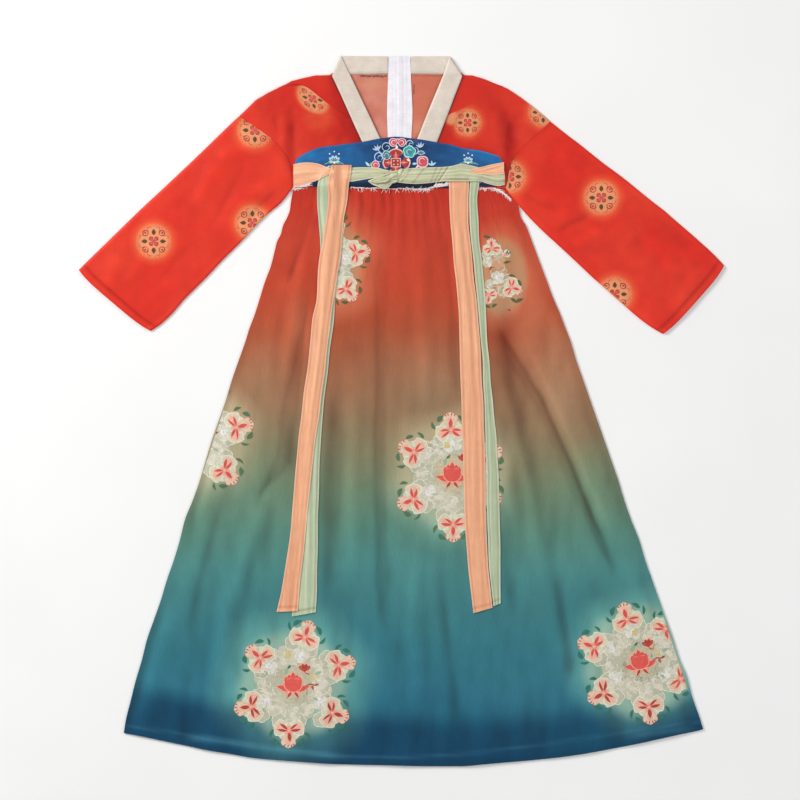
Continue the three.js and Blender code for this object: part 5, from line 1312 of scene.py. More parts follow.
def disc(r, n=12, squash=1.0):
    a = np.linspace(0, 2 * PI, n, endpoint=False)
    return np.stack([r * np.cos(a), r * np.sin(a) * squash], 1)

def line(pts, w0, w1=None, n=14, taper=True):
    """Brush stroke along points, thick in the middle or tapering to its end."""
    w1 = w0 if w1 is None else w1
    c = along(pts, n)
    d = np.gradient(c, axis=0)
    d /= np.linalg.norm(d, axis=1, keepdims=True) + 1e-9
    nrm = np.stack([-d[:, 1], d[:, 0]], 1)
    t = np.linspace(0, 1, n)
    w = (w0 + (w1 - w0) * t) / 2
    if taper:
        w = w * (0.35 + 0.65 * np.sin(PI * np.clip(t * 0.9 + 0.05, 0, 1)))
    return np.concatenate([c + nrm * w[:, None], (c - nrm * w[:, None])[::-1]])

def arc(r, a0, a1, w0, w1=None, n=12, squash=1.0, grow=0.0):
    a = np.linspace(math.radians(a0), math.radians(a1), n)
    k = r * (1 + grow * np.linspace(0, 1, n))
    return line(np.stack([k * np.cos(a), k * np.sin(a) * squash], 1), w0, w1, n)

def rim_line(outline, w):
    """Thin closed outline: the ring between a shape and the same shape drawn in, as pieces."""
    p = np.asarray(outline, float)
    q = np.concatenate([p, p[:1]])
    d = (np.roll(p, -1, 0) - np.roll(p, 1, 0))
    d /= np.linalg.norm(d, axis=1, keepdims=True) + 1e-9
    nrm = np.stack([d[:, 1], -d[:, 0]], 1)
    o = p + nrm * w / 2
    i = p - nrm * w / 2
    out, n, k = [], len(p), 6
    for s in range(0, n, k):
        j = [(s + a) % n for a in range(min(k, n - s) + 1)]
        out.append(np.concatenate([o[j], i[j][::-1]]))
    return out

class Drawing:
    def __init__(self):
        self.items = []
    def put(self, layer, ink_, pts, *place):
        self.items.append((layer, ink_, T(pts, *place) if place else np.asarray(pts, float)))
    def outline(self, layer, ink_, pts, w):
        for piece in rim_line(pts, w):
            self.items.append((layer, ink_, piece))

def lily(D, x, y, out, s=1.0, seed=0, leaves=True, leaf_ink="leaf", stroke="coral"):
    """Three-lobed flower, its first petal outwards, with two pairs of leaves hugging its outer side."""
    r = np.random.RandomState(500 + seed)
    D.put(1, "cream", T(bloom(11.0 * s, 6, 0.10, 0.0), x, y, out))
    for side, L, W in ((0, 17.6, 12.4), (108, 16.2, 14.6), (-108, 16.2, 14.6)):
        a = out + math.radians(side + r.uniform(-4, 4))
        shape = T(petal(L * s, W * s, 0.60, 0.16, 21), x - math.cos(a) * 1.2, y - math.sin(a) * 1.2, a)
        D.put(1, "cream" if side else "shell", shape)
        D.outline(2, "pale" if side else "halo", shape, 0.6 * s)
        D.put(3, "shell", T(petal((L - 1.8) * s, (W - 3.2) * s, 0.6, 0.08, 15), x, y, a))
        D.put(4, "pink", T(petal((L - 4.6) * s, (W - 6.4) * s, 0.6, 0.0, 13), x + math.cos(a) * 0.6, y + math.sin(a) * 0.6, a))
    D.put(4, "pink", T(disc(5.0 * s, 12), x, y))
    D.put(5, "blush", T(bloom(4.0 * s, 3, 0.3, 0.0), x, y, out))
    for side in (0, 112, -112):
        a = out + math.radians(side)
        if side == 0:
            D.put(6, stroke, T(leaf(9.0 * s, 3.8 * s, 0.2), x + math.cos(a) * 1.8, y + math.sin(a) * 1.8, a + r.uniform(-0.1, 0.1)))
            for j in (-1.5, -0.4, 0.7, 1.6):
                b = a + j * 0.17
                D.put(6, "brown", T(leaf(3.0 * s, 1.1 * s), x + math.cos(b) * 13.0 * s, y + math.sin(b) * 13.0 * s, b + j * 0.3))
            continue
        for sgn in (-1, 1):
            b = a + sgn * math.radians(15)
            D.put(6, stroke, T(leaf(9.6 * s * r.uniform(0.85, 1.1), 2.5 * s * r.uniform(0.8, 1.2), sgn * 0.5),
                               x + math.cos(b) * 1.8, y + math.sin(b) * 1.8, b))
    D.put(7, "cream", T(disc(0.8 * s, 8), x, y))
    if leaves:
        for sgn in (-1, 1):
            for dist, ang, L, W, turn in ((14.6, 46, 8.8, 4.0, -44), (17.2, 77, 8.2, 2.7, 24)):
                dist, ang, turn = dist * r.uniform(0.95, 1.05), ang + r.uniform(-5, 5), turn + r.uniform(-12, 12)
                b = out + sgn * math.radians(ang)
                t = out + sgn * math.radians(turn)
                L, W = L * s * r.uniform(0.9, 1.1), W * s * r.uniform(0.85, 1.15)
                D.put(5, leaf_ink, T(leaf(L, W, sgn * 0.9), x + math.cos(b) * dist * s - math.cos(t) * L / 2,
                                     y + math.sin(b) * dist * s - math.sin(t) * L / 2, t))
    # light scalloped petals behind, towards the centre of the roundel
    for sgn in (-1, 1):
        b = out + PI + sgn * 0.78
        p = T(bloom(7.6 * s, 5, 0.16, 0.3), x + math.cos(b) * 12.5 * s, y + math.sin(b) * 12.5 * s, b)
        D.put(0, "fog", p)
        D.outline(1, "pale", p, 0.55 * s)

def peony(D, x, y, r, turn, white=False, seed=0):
    """Full soft flower of pale petals lying over one another."""
    g = np.random.RandomState(700 + seed)
    D.put(0, "cloud", T(bloom(r, 7, 0.18, 0.2, 0.9), x, y, turn))
    tones = ["milk", "petal", "cloud", "petal", "milk"] if white else ["petal", "cloud", "fog", "petal", "cloud"]
    for k in range(5):
        a = turn + k * 2 * PI / 5 + g.uniform(-0.25, 0.25)
        d = r * g.uniform(0.38, 0.5)
        D.put(1 + (k % 2), tones[k], T(bloom(r * g.uniform(0.40, 0.52), 5, 0.16, 0.3, 0.85), x + math.cos(a) * d, y + math.sin(a) * d, a))
    for k in range(3):
        a = turn + 0.9 + k * 2 * PI / 3 + g.uniform(-0.4, 0.4)
        D.put(3, "fog", T(line([(0, 0), (r * 0.34, 0.5), (r * 0.62, -0.2)], 0.7), x + math.cos(a) * r * 0.22, y + math.sin(a) * r * 0.2, a))
        D.put(3, "pale", T(arc(r * 0.55, -40, 40, 0.7), x + math.cos(a + 1) * r * 0.3, y + math.sin(a + 1) * r * 0.28, a + 1))
    D.put(4, "white" if white else "petal", T(bloom(r * 0.36, 5, 0.28, 0.1, 0.85), x, y, turn))
    if white:
        D.put(5, "lilac", T(leaf(r * 0.34, r * 0.13), x, y - r * 0.1, turn + 0.6))

def lotus(D, x, y, s=1.0, tilt=0.0):
    L = Drawing()
    up = PI / 2
    L.put(4, "blush", T(bloom(11.5, 6, 0.12, 0.0, 0.5), 0, -5.4))
    for sgn in (-1, 1):
        L.put(5, "halo", T(leaf(18.0, 7.6, -0.8 * sgn), -sgn * 0.6, -5.4, up - sgn * 1.40))
        L.put(6, "lotus", T(leaf(16.8, 6.0, -0.8 * sgn), -sgn * 0.2, -5.2, up - sgn * 1.40))
        L.put(5, "halo", T(leaf(9.2, 4.0), sgn * 1.0, -7.0, -up + sgn * 0.62))
        L.put(6, "brick", T(leaf(7.8, 2.5), sgn * 1.4, -7.8, -up + sgn * 0.62))
    L.put(7, "halo", T(disc(9.7, 22, 0.92), 0, 0.2))
    for x_, a_, l_ in ((-6.0, 20, 5.6), (6.0, -20, 5.6), (-3.2, 10, 7.8), (3.2, -10, 7.8), (0, 0, 10.4)):
        a_ = math.radians(90 + a_)
        L.put(7, "halo", T(leaf(l_ + 1.4, 6.4), x_ * 0.9, 1.2, a_))
        L.put(8, "coral", T(leaf(l_, 5.2), x_ * 0.9, 1.4, a_))
    L.put(9, "lotus", T(disc(8.7, 20, 0.92), 0, 0.0))
    for j in (-1, 1):
        L.put(10, "blush", T(arc(7.4, 58, 104, 0.5) if j > 0 else arc(7.4, 76, 122, 0.5), j * 3.2, -2.2))
    L.put(8, "cream", T(disc(1.3, 9), 0, -7.4))
    L.put(6, "brown", T(line([(0, 0), (5, 1.8), (9.5, 0.6), (12, 1.0)], 1.4), 12.6, -2.0))
    L.put(6, "brown", T(leaf(5.0, 2.6), 18.6, -1.4, -1.15))
    L.put(6, "brick", T(leaf(4.4, 2.1), 21.6, -1.0, 0.25))
    for layer, key, pts in L.items:
        D.put(layer, key, T(pts, x, y, tilt, s))

# where the six outer flowers of each roundel stand, as angle and distance from its lotus
SPOTS_1 = [(76, 48.6, 70), (23, 49.4, 14), (-36, 48.4, -15), (-95, 46.4, -89), (-152, 47.4, -172), (141, 42.0, 140)]
SPOTS_2 = [(107, 44.0), (52, 41.6), (-23, 44.6), (-79, 46.2, -83), (-139, 47.8, -152), (162, 48.2)]
SPOTS_3 = [(92, 44.6), (150, 44.0), (-147, 46.0, -160), (-89, 50.4), (29, 38.5), (-30, 38.5)]
SPOTS_4 = [(10, 44.4), (-48, 47.4), (70, 46.0), (-108, 47.0), (130, 46.0), (-168, 46.0)]

def roundel(spots, tilt=0.0, leaf_ink="leaf", seed=0, warm=False):
    D = Drawing()
    g = np.random.RandomState(40 + seed)
    turns = [math.radians(q[-1] if len(q) > 2 else q[0]) for q in spots]
    spots = [(q[0], q[1]) for q in spots]
    for k in range(6):
        a = math.radians(spots[0][0] + 30 + 60 * k)
        D.put(0, "fog" if k % 2 else "cloud", T(bloom(14.0, 7, 0.16, 0.3 * k), 26 * math.cos(a), 26 * math.sin(a), a))
    D.put(0, "sand" if warm else "beige", T(bloom(21.0, 8, 0.10, 0.3), 1, 0))
    for k, (a, r) in enumerate(spots):
        a = math.radians(a)
        lily(D, r * math.cos(a), r * math.sin(a), turns[k], 1.06, k + seed * 7, True, leaf_ink, "brick" if math.sin(a) < -0.4 and not warm else "coral")
    for k, (a, r) in enumerate(spots):
        b = math.radians(a + g.uniform(-7, 7))
        peony(D, 30.5 * math.cos(b), 30.5 * math.sin(b), 10.2 * g.uniform(0.92, 1.06), g.uniform(0, 6), k % 2 == 0 or k == 5, k + seed)
        b = math.radians(a - 30 + g.uniform(-6, 6))
        peony(D, 29.0 * math.cos(b), 28.0 * math.sin(b), 7.8 * g.uniform(0.9, 1.15), g.uniform(0, 6), False, 20 + k + seed)
    for k in range(7):
        a = g.uniform(0, 2 * PI)
        D.put(1, "pale", T(arc(3.0, 10, 170, 0.6), 18.5 * math.cos(a), 17.5 * math.sin(a), a - PI / 2))
    D.put(5, "gold", T(bloom(3.4, 5, 0.3, 0.0), -5.0, 29.0))
    lotus(D, 0.0, 0.5, 1.0, tilt)
    # bud and leaves above the lotus
    bx, by = (11.5 * math.cos(tilt) - 13.0 * math.sin(tilt), 11.5 * math.sin(tilt) + 13.0 * math.cos(tilt))
    D.put(5, "halo", T(bloom(6.2, 6, 0.16, 0.0, 0.86), bx, by + 3.4, tilt))
    for j in (-1.6, -0.55, 0.55, 1.6):
        D.put(6 + (abs(j) < 1), "brown" if abs(j) > 1 else "brick", T(petal(8.6, 3.6, 0.6), bx, by - 0.8, tilt + PI / 2 - j * 0.44))
    D.put(6, "brown", T(line([(0, 0), (2.2, -1.8), (5.2, -2.4)], 1.2), bx, by - 0.4))
    D.put(5, "gold", T(leaf(9.6, 3.4, 0.4), bx + 5.0, by - 2.0, -0.9))
    D.put(6, leaf_ink, T(leaf(5.4, 2.4), -5.6, 15.6, 0.8))
    D.put(5, "sage", T(leaf(8.4, 3.6, 0.4), -8.0, 9.4, 1.2))
    D.put(5, "sage", T(leaf(7.4, 3.0, 0.4), 22.0, 10.0, 0.4))
    D.put(5, "sage", T(leaf(6.4, 2.6, 0.4), 20.0, -13.0, -0.6))
    return D.items

def gathered_roundel():
    """What shows of a roundel pressed together by the gathers beside the ribbons."""
    D = Drawing()
    def at(px, py):
        return px - 494.0, 272.0 - py
    for x, y, r in ((498, 262, 8), (500, 279, 10), (490, 287, 8), (503, 292, 7)):
        D.put(0, "tan", T(bloom(r, 7, 0.16, 0.3), *at(x, y)))
    for x, y, r, a in ((496, 263, 3.2, 60), (501, 268, 3.6, -20), (504, 272, 3.0, 70), (494, 272, 3.4, 150), (506, 283, 3.2, 130), (497, 289, 3.0, 20), (503, 297, 3.0, 80)):
        D.put(2, "pale", T(arc(r, -70, 70, 0.6), *at(x, y), math.radians(a)))
    for k, (x, y, out, s) in enumerate(((491.8, 248.4, 96, 0.66), (511.5, 287.5, -22, 0.72), (488.5, 295.4, -95, 0.60))):
        lily(D, *at(x, y), math.radians(out), s, 20 + k, leaves=False)
    D.put(1, "cream", T(petal(9.5, 8, 0.6, 0.1), *at(501.5, 256.4), 0.45))
    D.put(2, "blush", T(petal(6.5, 4.6, 0.6), *at(502.5, 256.0), 0.45))
    D.put(3, "slate", T(leaf(4.6, 1.8), *at(506.4, 254.6), 1.3))
    D.put(3, "slate", T(leaf(4.2, 1.6), *at(508.0, 254.8), 0.9))
    peony(D, *at(497.5, 277.6), 7.6, 0.4, True, 31)
    peony(D, *at(487.5, 262.5), 5.6, 1.4, False, 32)
    peony(D, *at(490.0, 284.0), 5.0, 0.2, False, 33)
    D.put(3, "brown", T(petal(4.6, 3.2, 0.6), *at(488.6, 270.6), 0.8))
    D.put(3, "brown", T(leaf(4.0, 1.4), *at(491.0, 268.6), 0.4))
    D.put(3, "brick", T(leaf(3.4, 2.0), *at(507.4, 309.6), -0.3))
    for x, y, L, W, a in ((482.5, 236.4, 9, 3.2, -12), (503, 263.4, 8, 2.4, 12), (508, 275.2, 8, 2.8, -14), (517.4, 279.6, 8, 3.0, -62),
                          (510.6, 298.4, 8, 3.2, -38), (515.6, 302.2, 8.4, 3.6, 24), (484.0, 305.4, 7, 3.0, -20), (491.6, 307.2, 6.4, 3.0, 30)):
        D.put(3, "leafdull", T(leaf(L, W, 0.4), *at(x, y), math.radians(a)))
    return D.items

def small_roundel():
    D = Drawing()
    for k in range(4):
        a = k * PI / 2
        D.put(2, "brick", T(petal(6.4, 4.8, 0.6), 0, 0, a + PI / 4))
        D.put(3, "pinkred", T(petal(5.0, 2.4, 0.6), 0, 0, a + PI / 4))
        D.put(3, "leafdark", T(leaf(6.6, 4.2), 6.8 * math.cos(a), 6.8 * math.sin(a), a))
        for sgn in (-1, 1):
            b = a + PI / 4
            D.put(3, "brick", T(arc(2.9, 10 * sgn, 205 * sgn, 1.4, 0.8), 12.6 * math.cos(b), 12.6 * math.sin(b), b - sgn * 0.35))
            D.put(2, "amber", T(arc(2.6, 0, 170 * sgn, 0.8, 0.5), 13.6 * math.cos(a + sgn * 0.30), 13.6 * math.sin(a + sgn * 0.30), a - sgn * 0.5))
        D.put(4, "brick", T(leaf(3.6, 1.8), 11.4 * math.cos(a + PI / 4), 11.4 * math.sin(a + PI / 4), a + PI / 4))
    D.put(5, "pinkred", disc(1.7, 9))
    D.put(6, "brick", disc(0.7, 7))
    for k in range(28):
        a = k * 2 * PI / 28
        D.put(2, "straw", T(disc(0.5, 7), 18.6 * math.cos(a), 18.6 * math.sin(a)))
    for k in range(16):
        a = k * 2 * PI / 16
        D.put(2, "straw", T(arc(3.0, -60, 60, 0.4), 14.4 * math.cos(a), 14.4 * math.sin(a), a))
    return D.items

def slanted(items, turn, sx, sy):
    """A drawing squeezed along and across a slant."""
    c, n = math.cos(turn), math.sin(turn)
    out = []
    for layer, key, pts in items:
        u = (pts[:, 0] * c + pts[:, 1] * n) * sx
        v = (-pts[:, 0] * n + pts[:, 1] * c) * sy
        out.append((layer, key, np.stack([u * c - v * n, u * n + v * c], 1)))
    return out

INKS = {
    "cream": (214, 211, 184), "pale": (232, 230, 210), "shell": (226, 200, 176), "pink": (234, 180, 158), "blush": (236, 156, 136),
    "coral": (214, 84, 74), "lotus": (224, 88, 80), "brick": (180, 64, 56), "leaf": (50, 116, 98), "leafdark": (96, 70, 34),
    "leafdull": (92, 98, 60), "leafgrey": (84, 116, 84), "cloud": (204, 200, 178), "fog": (190, 190, 167), "petal": (217, 211, 194),
    "beige": (195, 187, 160), "sand": (204, 186, 152), "tan": (204, 158, 122), "lilac": (196, 194, 206),
    "milk": (222, 218, 208), "white": (232, 228, 224), "sage": (152, 180, 148), "halo": (240, 172, 144), "brown": (172, 92, 70),
    "gold": (214, 194, 128), "straw": (240, 150, 92), "amber": (196, 112, 70), "pinkred": (220, 90, 88), "outline": (240, 214, 220),
    "rose": (208, 82, 96), "red": (170, 56, 50), "light": (240, 190, 178), "teal": (48, 166, 160), "aqua": (180, 226, 230),
    "ice": (190, 212, 236), "slate": (74, 124, 140), "thread": (248, 240, 232), "dark": (70, 66, 54),
}
_ink = {}
def ink_of(key):
    if key not in _ink:
        _ink[key] = ink("print_" + key, INKS[key], rough=0.6, sheen=0.08)
    return _ink[key]

def clip_side(poly, p, q):
    """Keeps what lies left of the line from p to q."""
    out, n = [], len(poly)
    nx, ny = -(q[1] - p[1]), q[0] - p[0]
    f = (poly[:, 0] - p[0]) * nx + (poly[:, 1] - p[1]) * ny
    for i in range(n):
        j = (i + 1) % n
        if f[i] >= 0:
            out.append(poly[i])
        if (f[i] >= 0) != (f[j] >= 0):
            t = f[i] / (f[i] - f[j])
            out.append(poly[i] + (poly[j] - poly[i]) * t)
    return np.array(out) if len(out) >= 3 else None

def film(name, drawings, surface, step=2.6, base=0.26, layer_step=0.045):
    """Films of dye on a surface. drawings: (items, centre x, y in layout units, size, cut lines)."""
    V, F, M, keys = [], [], [], []
    at = 0
    for items, cx, cy, s, cuts in drawings:
        for layer, key, pts in items:
            poly = np.stack([PX(cx) + pts[:, 0] * s * K, PY(cy) + pts[:, 1] * s * K], 1)
            for p, q in cuts:
                if poly is None:
                    break
                poly = clip_side(poly, P([p])[0], P([q])[0])
            if poly is None or len(poly) < 3:
                continue
            area2 = (poly[:, 0] * np.roll(poly[:, 1], -1) - np.roll(poly[:, 0], -1) * poly[:, 1]).sum()
            if abs(area2) < 0.25:
                continue
            if area2 < 0:
                poly = poly[::-1]
            # short steps round the edge, and points inside on a grid
            ring = []
            for a, b in zip(poly, np.roll(poly, -1, 0)):
                L = math.hypot(*(b - a))
                if L < 0.12:
                    continue
                m = max(1, int(math.ceil(L / step)))
                ring.extend(a + (b - a) * (k / m) for k in range(m))
            if len(ring) < 3:
                continue
            ring = np.array(ring)
            lo, hi = ring.min(0), ring.max(0)
            inside = []
            if min(hi - lo) > step * 1.3:
                gx = np.arange(lo[0] + step * 0.5, hi[0], step)
                gy = np.arange(lo[1] + step * 0.5, hi[1], step)
                for px_ in gx:
                    for py_ in gy:
                        if np.hypot(ring[:, 0] - px_, ring[:, 1] - py_).min() > step * 0.5:
                            inside.append((px_, py_))
            verts = [Vector((float(a), float(b))) for a, b in list(ring) + inside]
            vs, _, fs, _, _, _ = delaunay_2d_cdt(verts, [], [list(range(len(ring)))], 1, 1e-4)
            if not fs:
                continue
            vs = np.array([(v.x, v.y) for v in vs])
            z = np.array([surface.z(x, y, -1.0) for x, y in vs])
            for i in np.nonzero(z < 0)[0]:
                for ex, ey in ((0.05, 0.03), (-0.05, 0.04), (0.04, -0.06), (0.3, 0.2), (-0.3, -0.2), (-0.5, 0.4), (0.6, -0.4)):
                    if z[i] < 0:
                        z[i] = surface.z(vs[i, 0] + ex, vs[i, 1] + ey, -1.0)
            if (z < 0).any():
                ok = z >= 0
                if not ok.any():
                    continue
                for i in np.nonzero(~ok)[0]:
                    z[i] = z[ok][np.argmin(np.hypot(*(vs[ok] - vs[i]).T))]
            n = len(vs)
            top = np.column_stack([vs, z + base + layer_step * layer])
            bot = np.column_stack([vs, z - 0.08])
            edges = {}
            for f in fs:
                f = list(f)
                (ax, ay), (bx, by), (cx_, cy_) = vs[f[0]], vs[f[1]], vs[f[2]]
                if (bx - ax) * (cy_ - ay) - (cx_ - ax) * (by - ay) < 0:
                    f = f[::-1]
                F.append((at + f[0], at + f[1], at + f[2]))
                F.append((at + n + f[2], at + n + f[1], at + n + f[0]))
                M.extend((key, key))
                for a, b in ((f[0], f[1]), (f[1], f[2]), (f[2], f[0])):
                    if (b, a) in edges:
                        del edges[(b, a)]
                    else:
                        edges[(a, b)] = 1
            for a, b in edges:
                F.append((at + a, at + n + a, at + n + b))
                F.append((at + a, at + n + b, at + b))
                M.extend((key, key))
            V.append(top)
            V.append(bot)
            at += 2 * n
    used = sorted(set(M))
    idx = {k: i for i, k in enumerate(used)}
    return put_mesh(name, np.concatenate(V), F, [ink_of(k) for k in used], [idx[k] for k in M], None, 40)

ROUNDELS = [roundel(SPOTS_1, 0.0, "leaf", 0), roundel(SPOTS_2, 0.2, "leaf", 1), roundel(SPOTS_3, 0.0, "leafgrey", 2, True),
            roundel(SPOTS_4, 0.1, "leafgrey", 3, True), roundel(SPOTS_4, 0.1, "leafdull", 3, True)]
SMALL = small_roundel()
on_skirt = Surface(front_skirt)
def side_cut(py0, py1, left):
    """Cut line just inside the skirt's side seam between two levels."""
    a, b = (pchip([p for p, _ in SKIRT_L], [x for _, x in SKIRT_L], py) + 1.2 if left
            else pchip([p for p, _ in SKIRT_R], [x for _, x in SKIRT_R], py) - 1.2 for py in (py0, py1))
    a, b = float(a), float(b)
    return ((a, py0), (b, py1)) if left else ((b, py1), (a, py0))

prints = []
for k, (cx, cy, r) in enumerate(SKIRT_ROUNDELS):
    cuts = []
    if k == 1:
        cuts = [side_cut(600, 730, False)]
    if k == 3:
        cuts = [side_cut(370, 500, True)]
    if k == 4:
        cuts = [((335.5, 200), (335.5, 345))]
    if k == 5:
        prints.append(film("print_roundel_6", [(gathered_roundel(), cx, cy, 1.0, [((480, 200), (484, 345))])], on_skirt, step=2.0))
        continue
    prints.append(film("print_roundel_%d" % (k + 1), [(ROUNDELS[k], cx, cy, r / 50.0, cuts)], on_skirt))

small_s = Surface(sleeve_r, sleeve_l)
small_b = Surface(front_r, front_l)
pr_sleeve_r = film("print_sleeve_right", [
    (SMALL, 154, 241.5, 0.92, []), (SMALL, 252.5, 223, 0.92, [((244, 238), (268, 212.6))]),
    (SMALL, 255, 130.5, 0.92, [((272, 138.6), (239, 116))])], small_s, step=2.2)
pr_sleeve_l = film("print_sleeve_left", [
    (SMALL, 601, 198, 0.92, []), (SMALL, 614.5, 294.3, 0.92, [((604, 287), (628, 308))]),
    (SMALL, 509.5, 177, 0.88, [((510.6, 160), (508.4, 190))])], small_s, step=2.2)
pr_front_r = film("print_front_right", [
    (slanted(SMALL, -0.733, 0.9, 0.6), 312.6, 99.0, 1.0, [((329.6, 105.4), (298.6, 84.8))])], small_b, step=2.2)
pr_front_l = film("print_front_left", [
    (SMALL, 467.5, 123, 0.74, [((458.5, 93), (439.5, 141))]),
    (SMALL, 543, 112.5, 0.8, [((519, 150), (549, 121)), ((560, 131.6), (520, 99))])], small_b, step=2.2)

def band_flower():
    """Embroidered scroll flower at the middle of the band, and a sprig at each side."""
    D = Drawing()
    def at(px, py):
        return px - 401.0, 410.5 - py
    def curl(px, py, r, a0, a1, key="ice", w=0.9, grow=0.0, squash=1.0, layer=3):
        D.put(layer, key, T(arc(r, a0, a1, w, w * 0.7, 14, squash, grow), *at(px, py)))
    # four-petalled flower
    for px, py, a, L, W in ((395.9, 160.6, 90, 11.0, 12.6), (392.4, 163.2, 180, 8.8, 10.0), (399.6, 163.0, 0, 9.8, 10.6),
                            (395.8, 165.6, -90, 7.0, 10.0)):
        a = math.radians(a)
        D.put(2, "light", T(petal(L + 1.3, W + 1.5, 0.62), *at(px, py), a))
        D.put(3, "red", T(petal(L, W, 0.62), *at(px, py), a))
        D.put(4, "pinkred", T(petal(L * 0.62, W * 0.42, 0.62), *at(px, py), a))
        D.put(5, "light", T(line([(L * 0.2, 0), (L * 0.8, 0)], 0.7), *at(px, py), a))
    x, y = at(395.8, 163.1)
    D.put(5, "light", [(x - 5.0, y - 4.6), (x + 5.0, y - 4.6), (x + 5.0, y + 4.6), (x - 5.0, y + 4.6)])
    D.put(6, "red", [(x - 4.2, y - 3.8), (x + 4.2, y - 3.8), (x + 4.2, y + 3.8), (x - 4.2, y + 3.8)])
    for sx in (-1, 1):
        for sy in (-1, 1):
            D.put(7, "light", T(disc(0.85, 7), x + 2.0 * sx, y + 1.8 * sy))
    # cloud-head above it
    for sgn in (-1, 1):
        cx = 397.6 + sgn * 4.3
        D.put(2, "outline", T(bloom(4.5, 3, 0.12, 0.4), *at(cx, 142.6)))
        D.put(3, "rose", T(bloom(3.7, 3, 0.12, 0.4), *at(cx, 142.6)))
        D.put(4, "outline", T(arc(2.1, 90 - sgn * 200, 90 + sgn * 80, 0.8), *at(cx - sgn * 0.3, 142.8)))
    D.put(4, "outline", T(petal(4.6, 3.4, 0.6), *at(397.6, 143.2), PI / 2))
    D.put(5, "rose", T(petal(3.6, 2.0, 0.6), *at(397.6, 143.0), PI / 2))
    D.put(5, "thread", T([(-1.5, 0), (0, -2.2), (1.5, 0), (0, 2.2)], *at(396.8, 147.4)))
    # scrolls on the wearer's right
    D.put(2, "slate", T(bloom(4.6, 4, 0.18, 0.2), *at(386.6, 155.6)))
    D.outline(3, "aqua", T(bloom(4.6, 4, 0.18, 0.2), *at(386.6, 155.6)), 0.8)
    curl(386.6, 155.8, 2.1, -40, 220, "aqua", 0.8)
    curl(379.2, 157.6, 4.6, 40, 300, "ice", 1.1)
    curl(380.2, 158.4, 2.3, -60, 200, "ice", 0.9)
    curl(386.4, 147.2, 4.2, 20, 250, "ice", 1.1)
    curl(387.4, 148.0, 2.0, -90, 150, "aqua", 0.8)
    for a in (60, 95, 130, 165):
        D.put(4, "ice", T(leaf(6.0, 1.7), *at(378.0, 150.6), math.radians(a)))
    D.put(4, "ice", T(line([(0, 0), (2.4, -3.4), (5.2, -5.8)], 1.2), *at(378.2, 150.4)))
    D.put(2, "outline", T(bloom(4.4, 3, 0.12, 1.4), *at(375.4, 165.2)))
    D.put(3, "rose", T(bloom(3.6, 3, 0.12, 1.4), *at(375.4, 165.2)))
    curl(375.6, 165.4, 1.9, 0, 250, "outline", 0.8, layer=4)
    D.put(4, "aqua", T(leaf(6.4, 2.4), *at(369.6, 166.8), 2.3))
    D.put(4, "sage", T(leaf(4.6, 1.9), *at(369.8, 167.0), 1.2))
    # scrolls on the wearer's left
    D.put(2, "teal", T(bloom(6.2, 5, 0.18, 0.2), *at(409.4, 152.0)))
    D.outline(3, "aqua", T(bloom(6.2, 5, 0.18, 0.2), *at(409.4, 152.0)), 0.9)
    D.put(3, "slate", T(bloom(3.2, 4, 0.2, 0.5), *at(409.2, 152.4)))
    curl(409.2, 152.2, 2.4, 20, 280, "aqua", 0.9, layer=5)
    curl(414.6, 151.0, 3.6, -120, 80, "ice", 1.0)
    curl(409.6, 144.2, 3.4, -10, 210, "ice", 1.1)
    curl(410.6, 145.0, 1.6, 40, 300, "aqua", 0.8)
    for a in (50, 85, 120, 150):
        D.put(4, "ice", T(leaf(5.6, 1.6), *at(420.6, 148.0), math.radians(a)))
    D.put(3, "slate", T(leaf(7.6, 3.8, 0.5), *at(417.4, 153.4), -0.05))
    D.outline(4, "ice", T(leaf(7.6, 3.8, 0.5), *at(417.4, 153.4), -0.05), 0.7)
    D.put(2, "outline", T(bloom(6.4, 4, 0.14, 0.8), *at(422.4, 162.2)))
    D.put(3, "rose", T(bloom(5.3, 4, 0.14, 0.8), *at(422.4, 162.2)))
    curl(422.0, 161.6, 3.0, 30, 270, "outline", 1.0, layer=4)
    D.put(5, "pinkred", T(petal(3.6, 2.8, 0.6), *at(422.4, 163.4), -0.6))
    D.put(4, "ice", T(leaf(5.0, 2.4), *at(412.2, 164.4), 0.1))
    D.put(4, "thread", T(leaf(4.2, 2.0), *at(406.6, 159.8), -0.4))
    D.put(4, "outline", T(leaf(4.6, 1.8), *at(415.6, 168.2), 0.6))
    for a in (40, 95, 150):
        D.put(4, "aqua", T(leaf(5.2, 1.8), *at(432.0, 166.0), math.radians(a)))
    # side sprigs
    for cx, cy, s in ((334.4, 162.4, 1.0), (468.0, 162.6, 0.85)):
        for a in (40, 72, 108, 140):
            D.put(3, "ice", T(petal(6.8 * s, 3.0 * s, 0.6), *at(cx, cy), math.radians(a)))
            D.put(4, "slate", T(petal(4.6 * s, 1.3 * s, 0.6), *at(cx, cy), math.radians(a)))
        for a in (5, 175):
            D.put(3, "aqua", T(leaf(6.0 * s, 2.2 * s), *at(cx, cy), math.radians(a)))
        for a, r in ((60, 9.4), (90, 10.4), (120, 9.4)):
            a = math.radians(a)
            D.put(3, "thread", T(disc(0.8, 6), at(cx, cy)[0] + r * s * math.cos(a), at(cx, cy)[1] + r * s * math.sin(a)))
        D.put(4, "thread", T(disc(1.4 * s, 8), *at(cx, cy + 0.6)))
        D.put(3, "sage", T(line([(-10, -1), (-6, 0.5), (-2, 0)], 0.9), *at(cx, cy + 1.4)))
        D.put(3, "sage", T(line([(10, -1), (6, 0.5), (2, 0)], 0.9), *at(cx, cy + 1.4)))
    return D.items

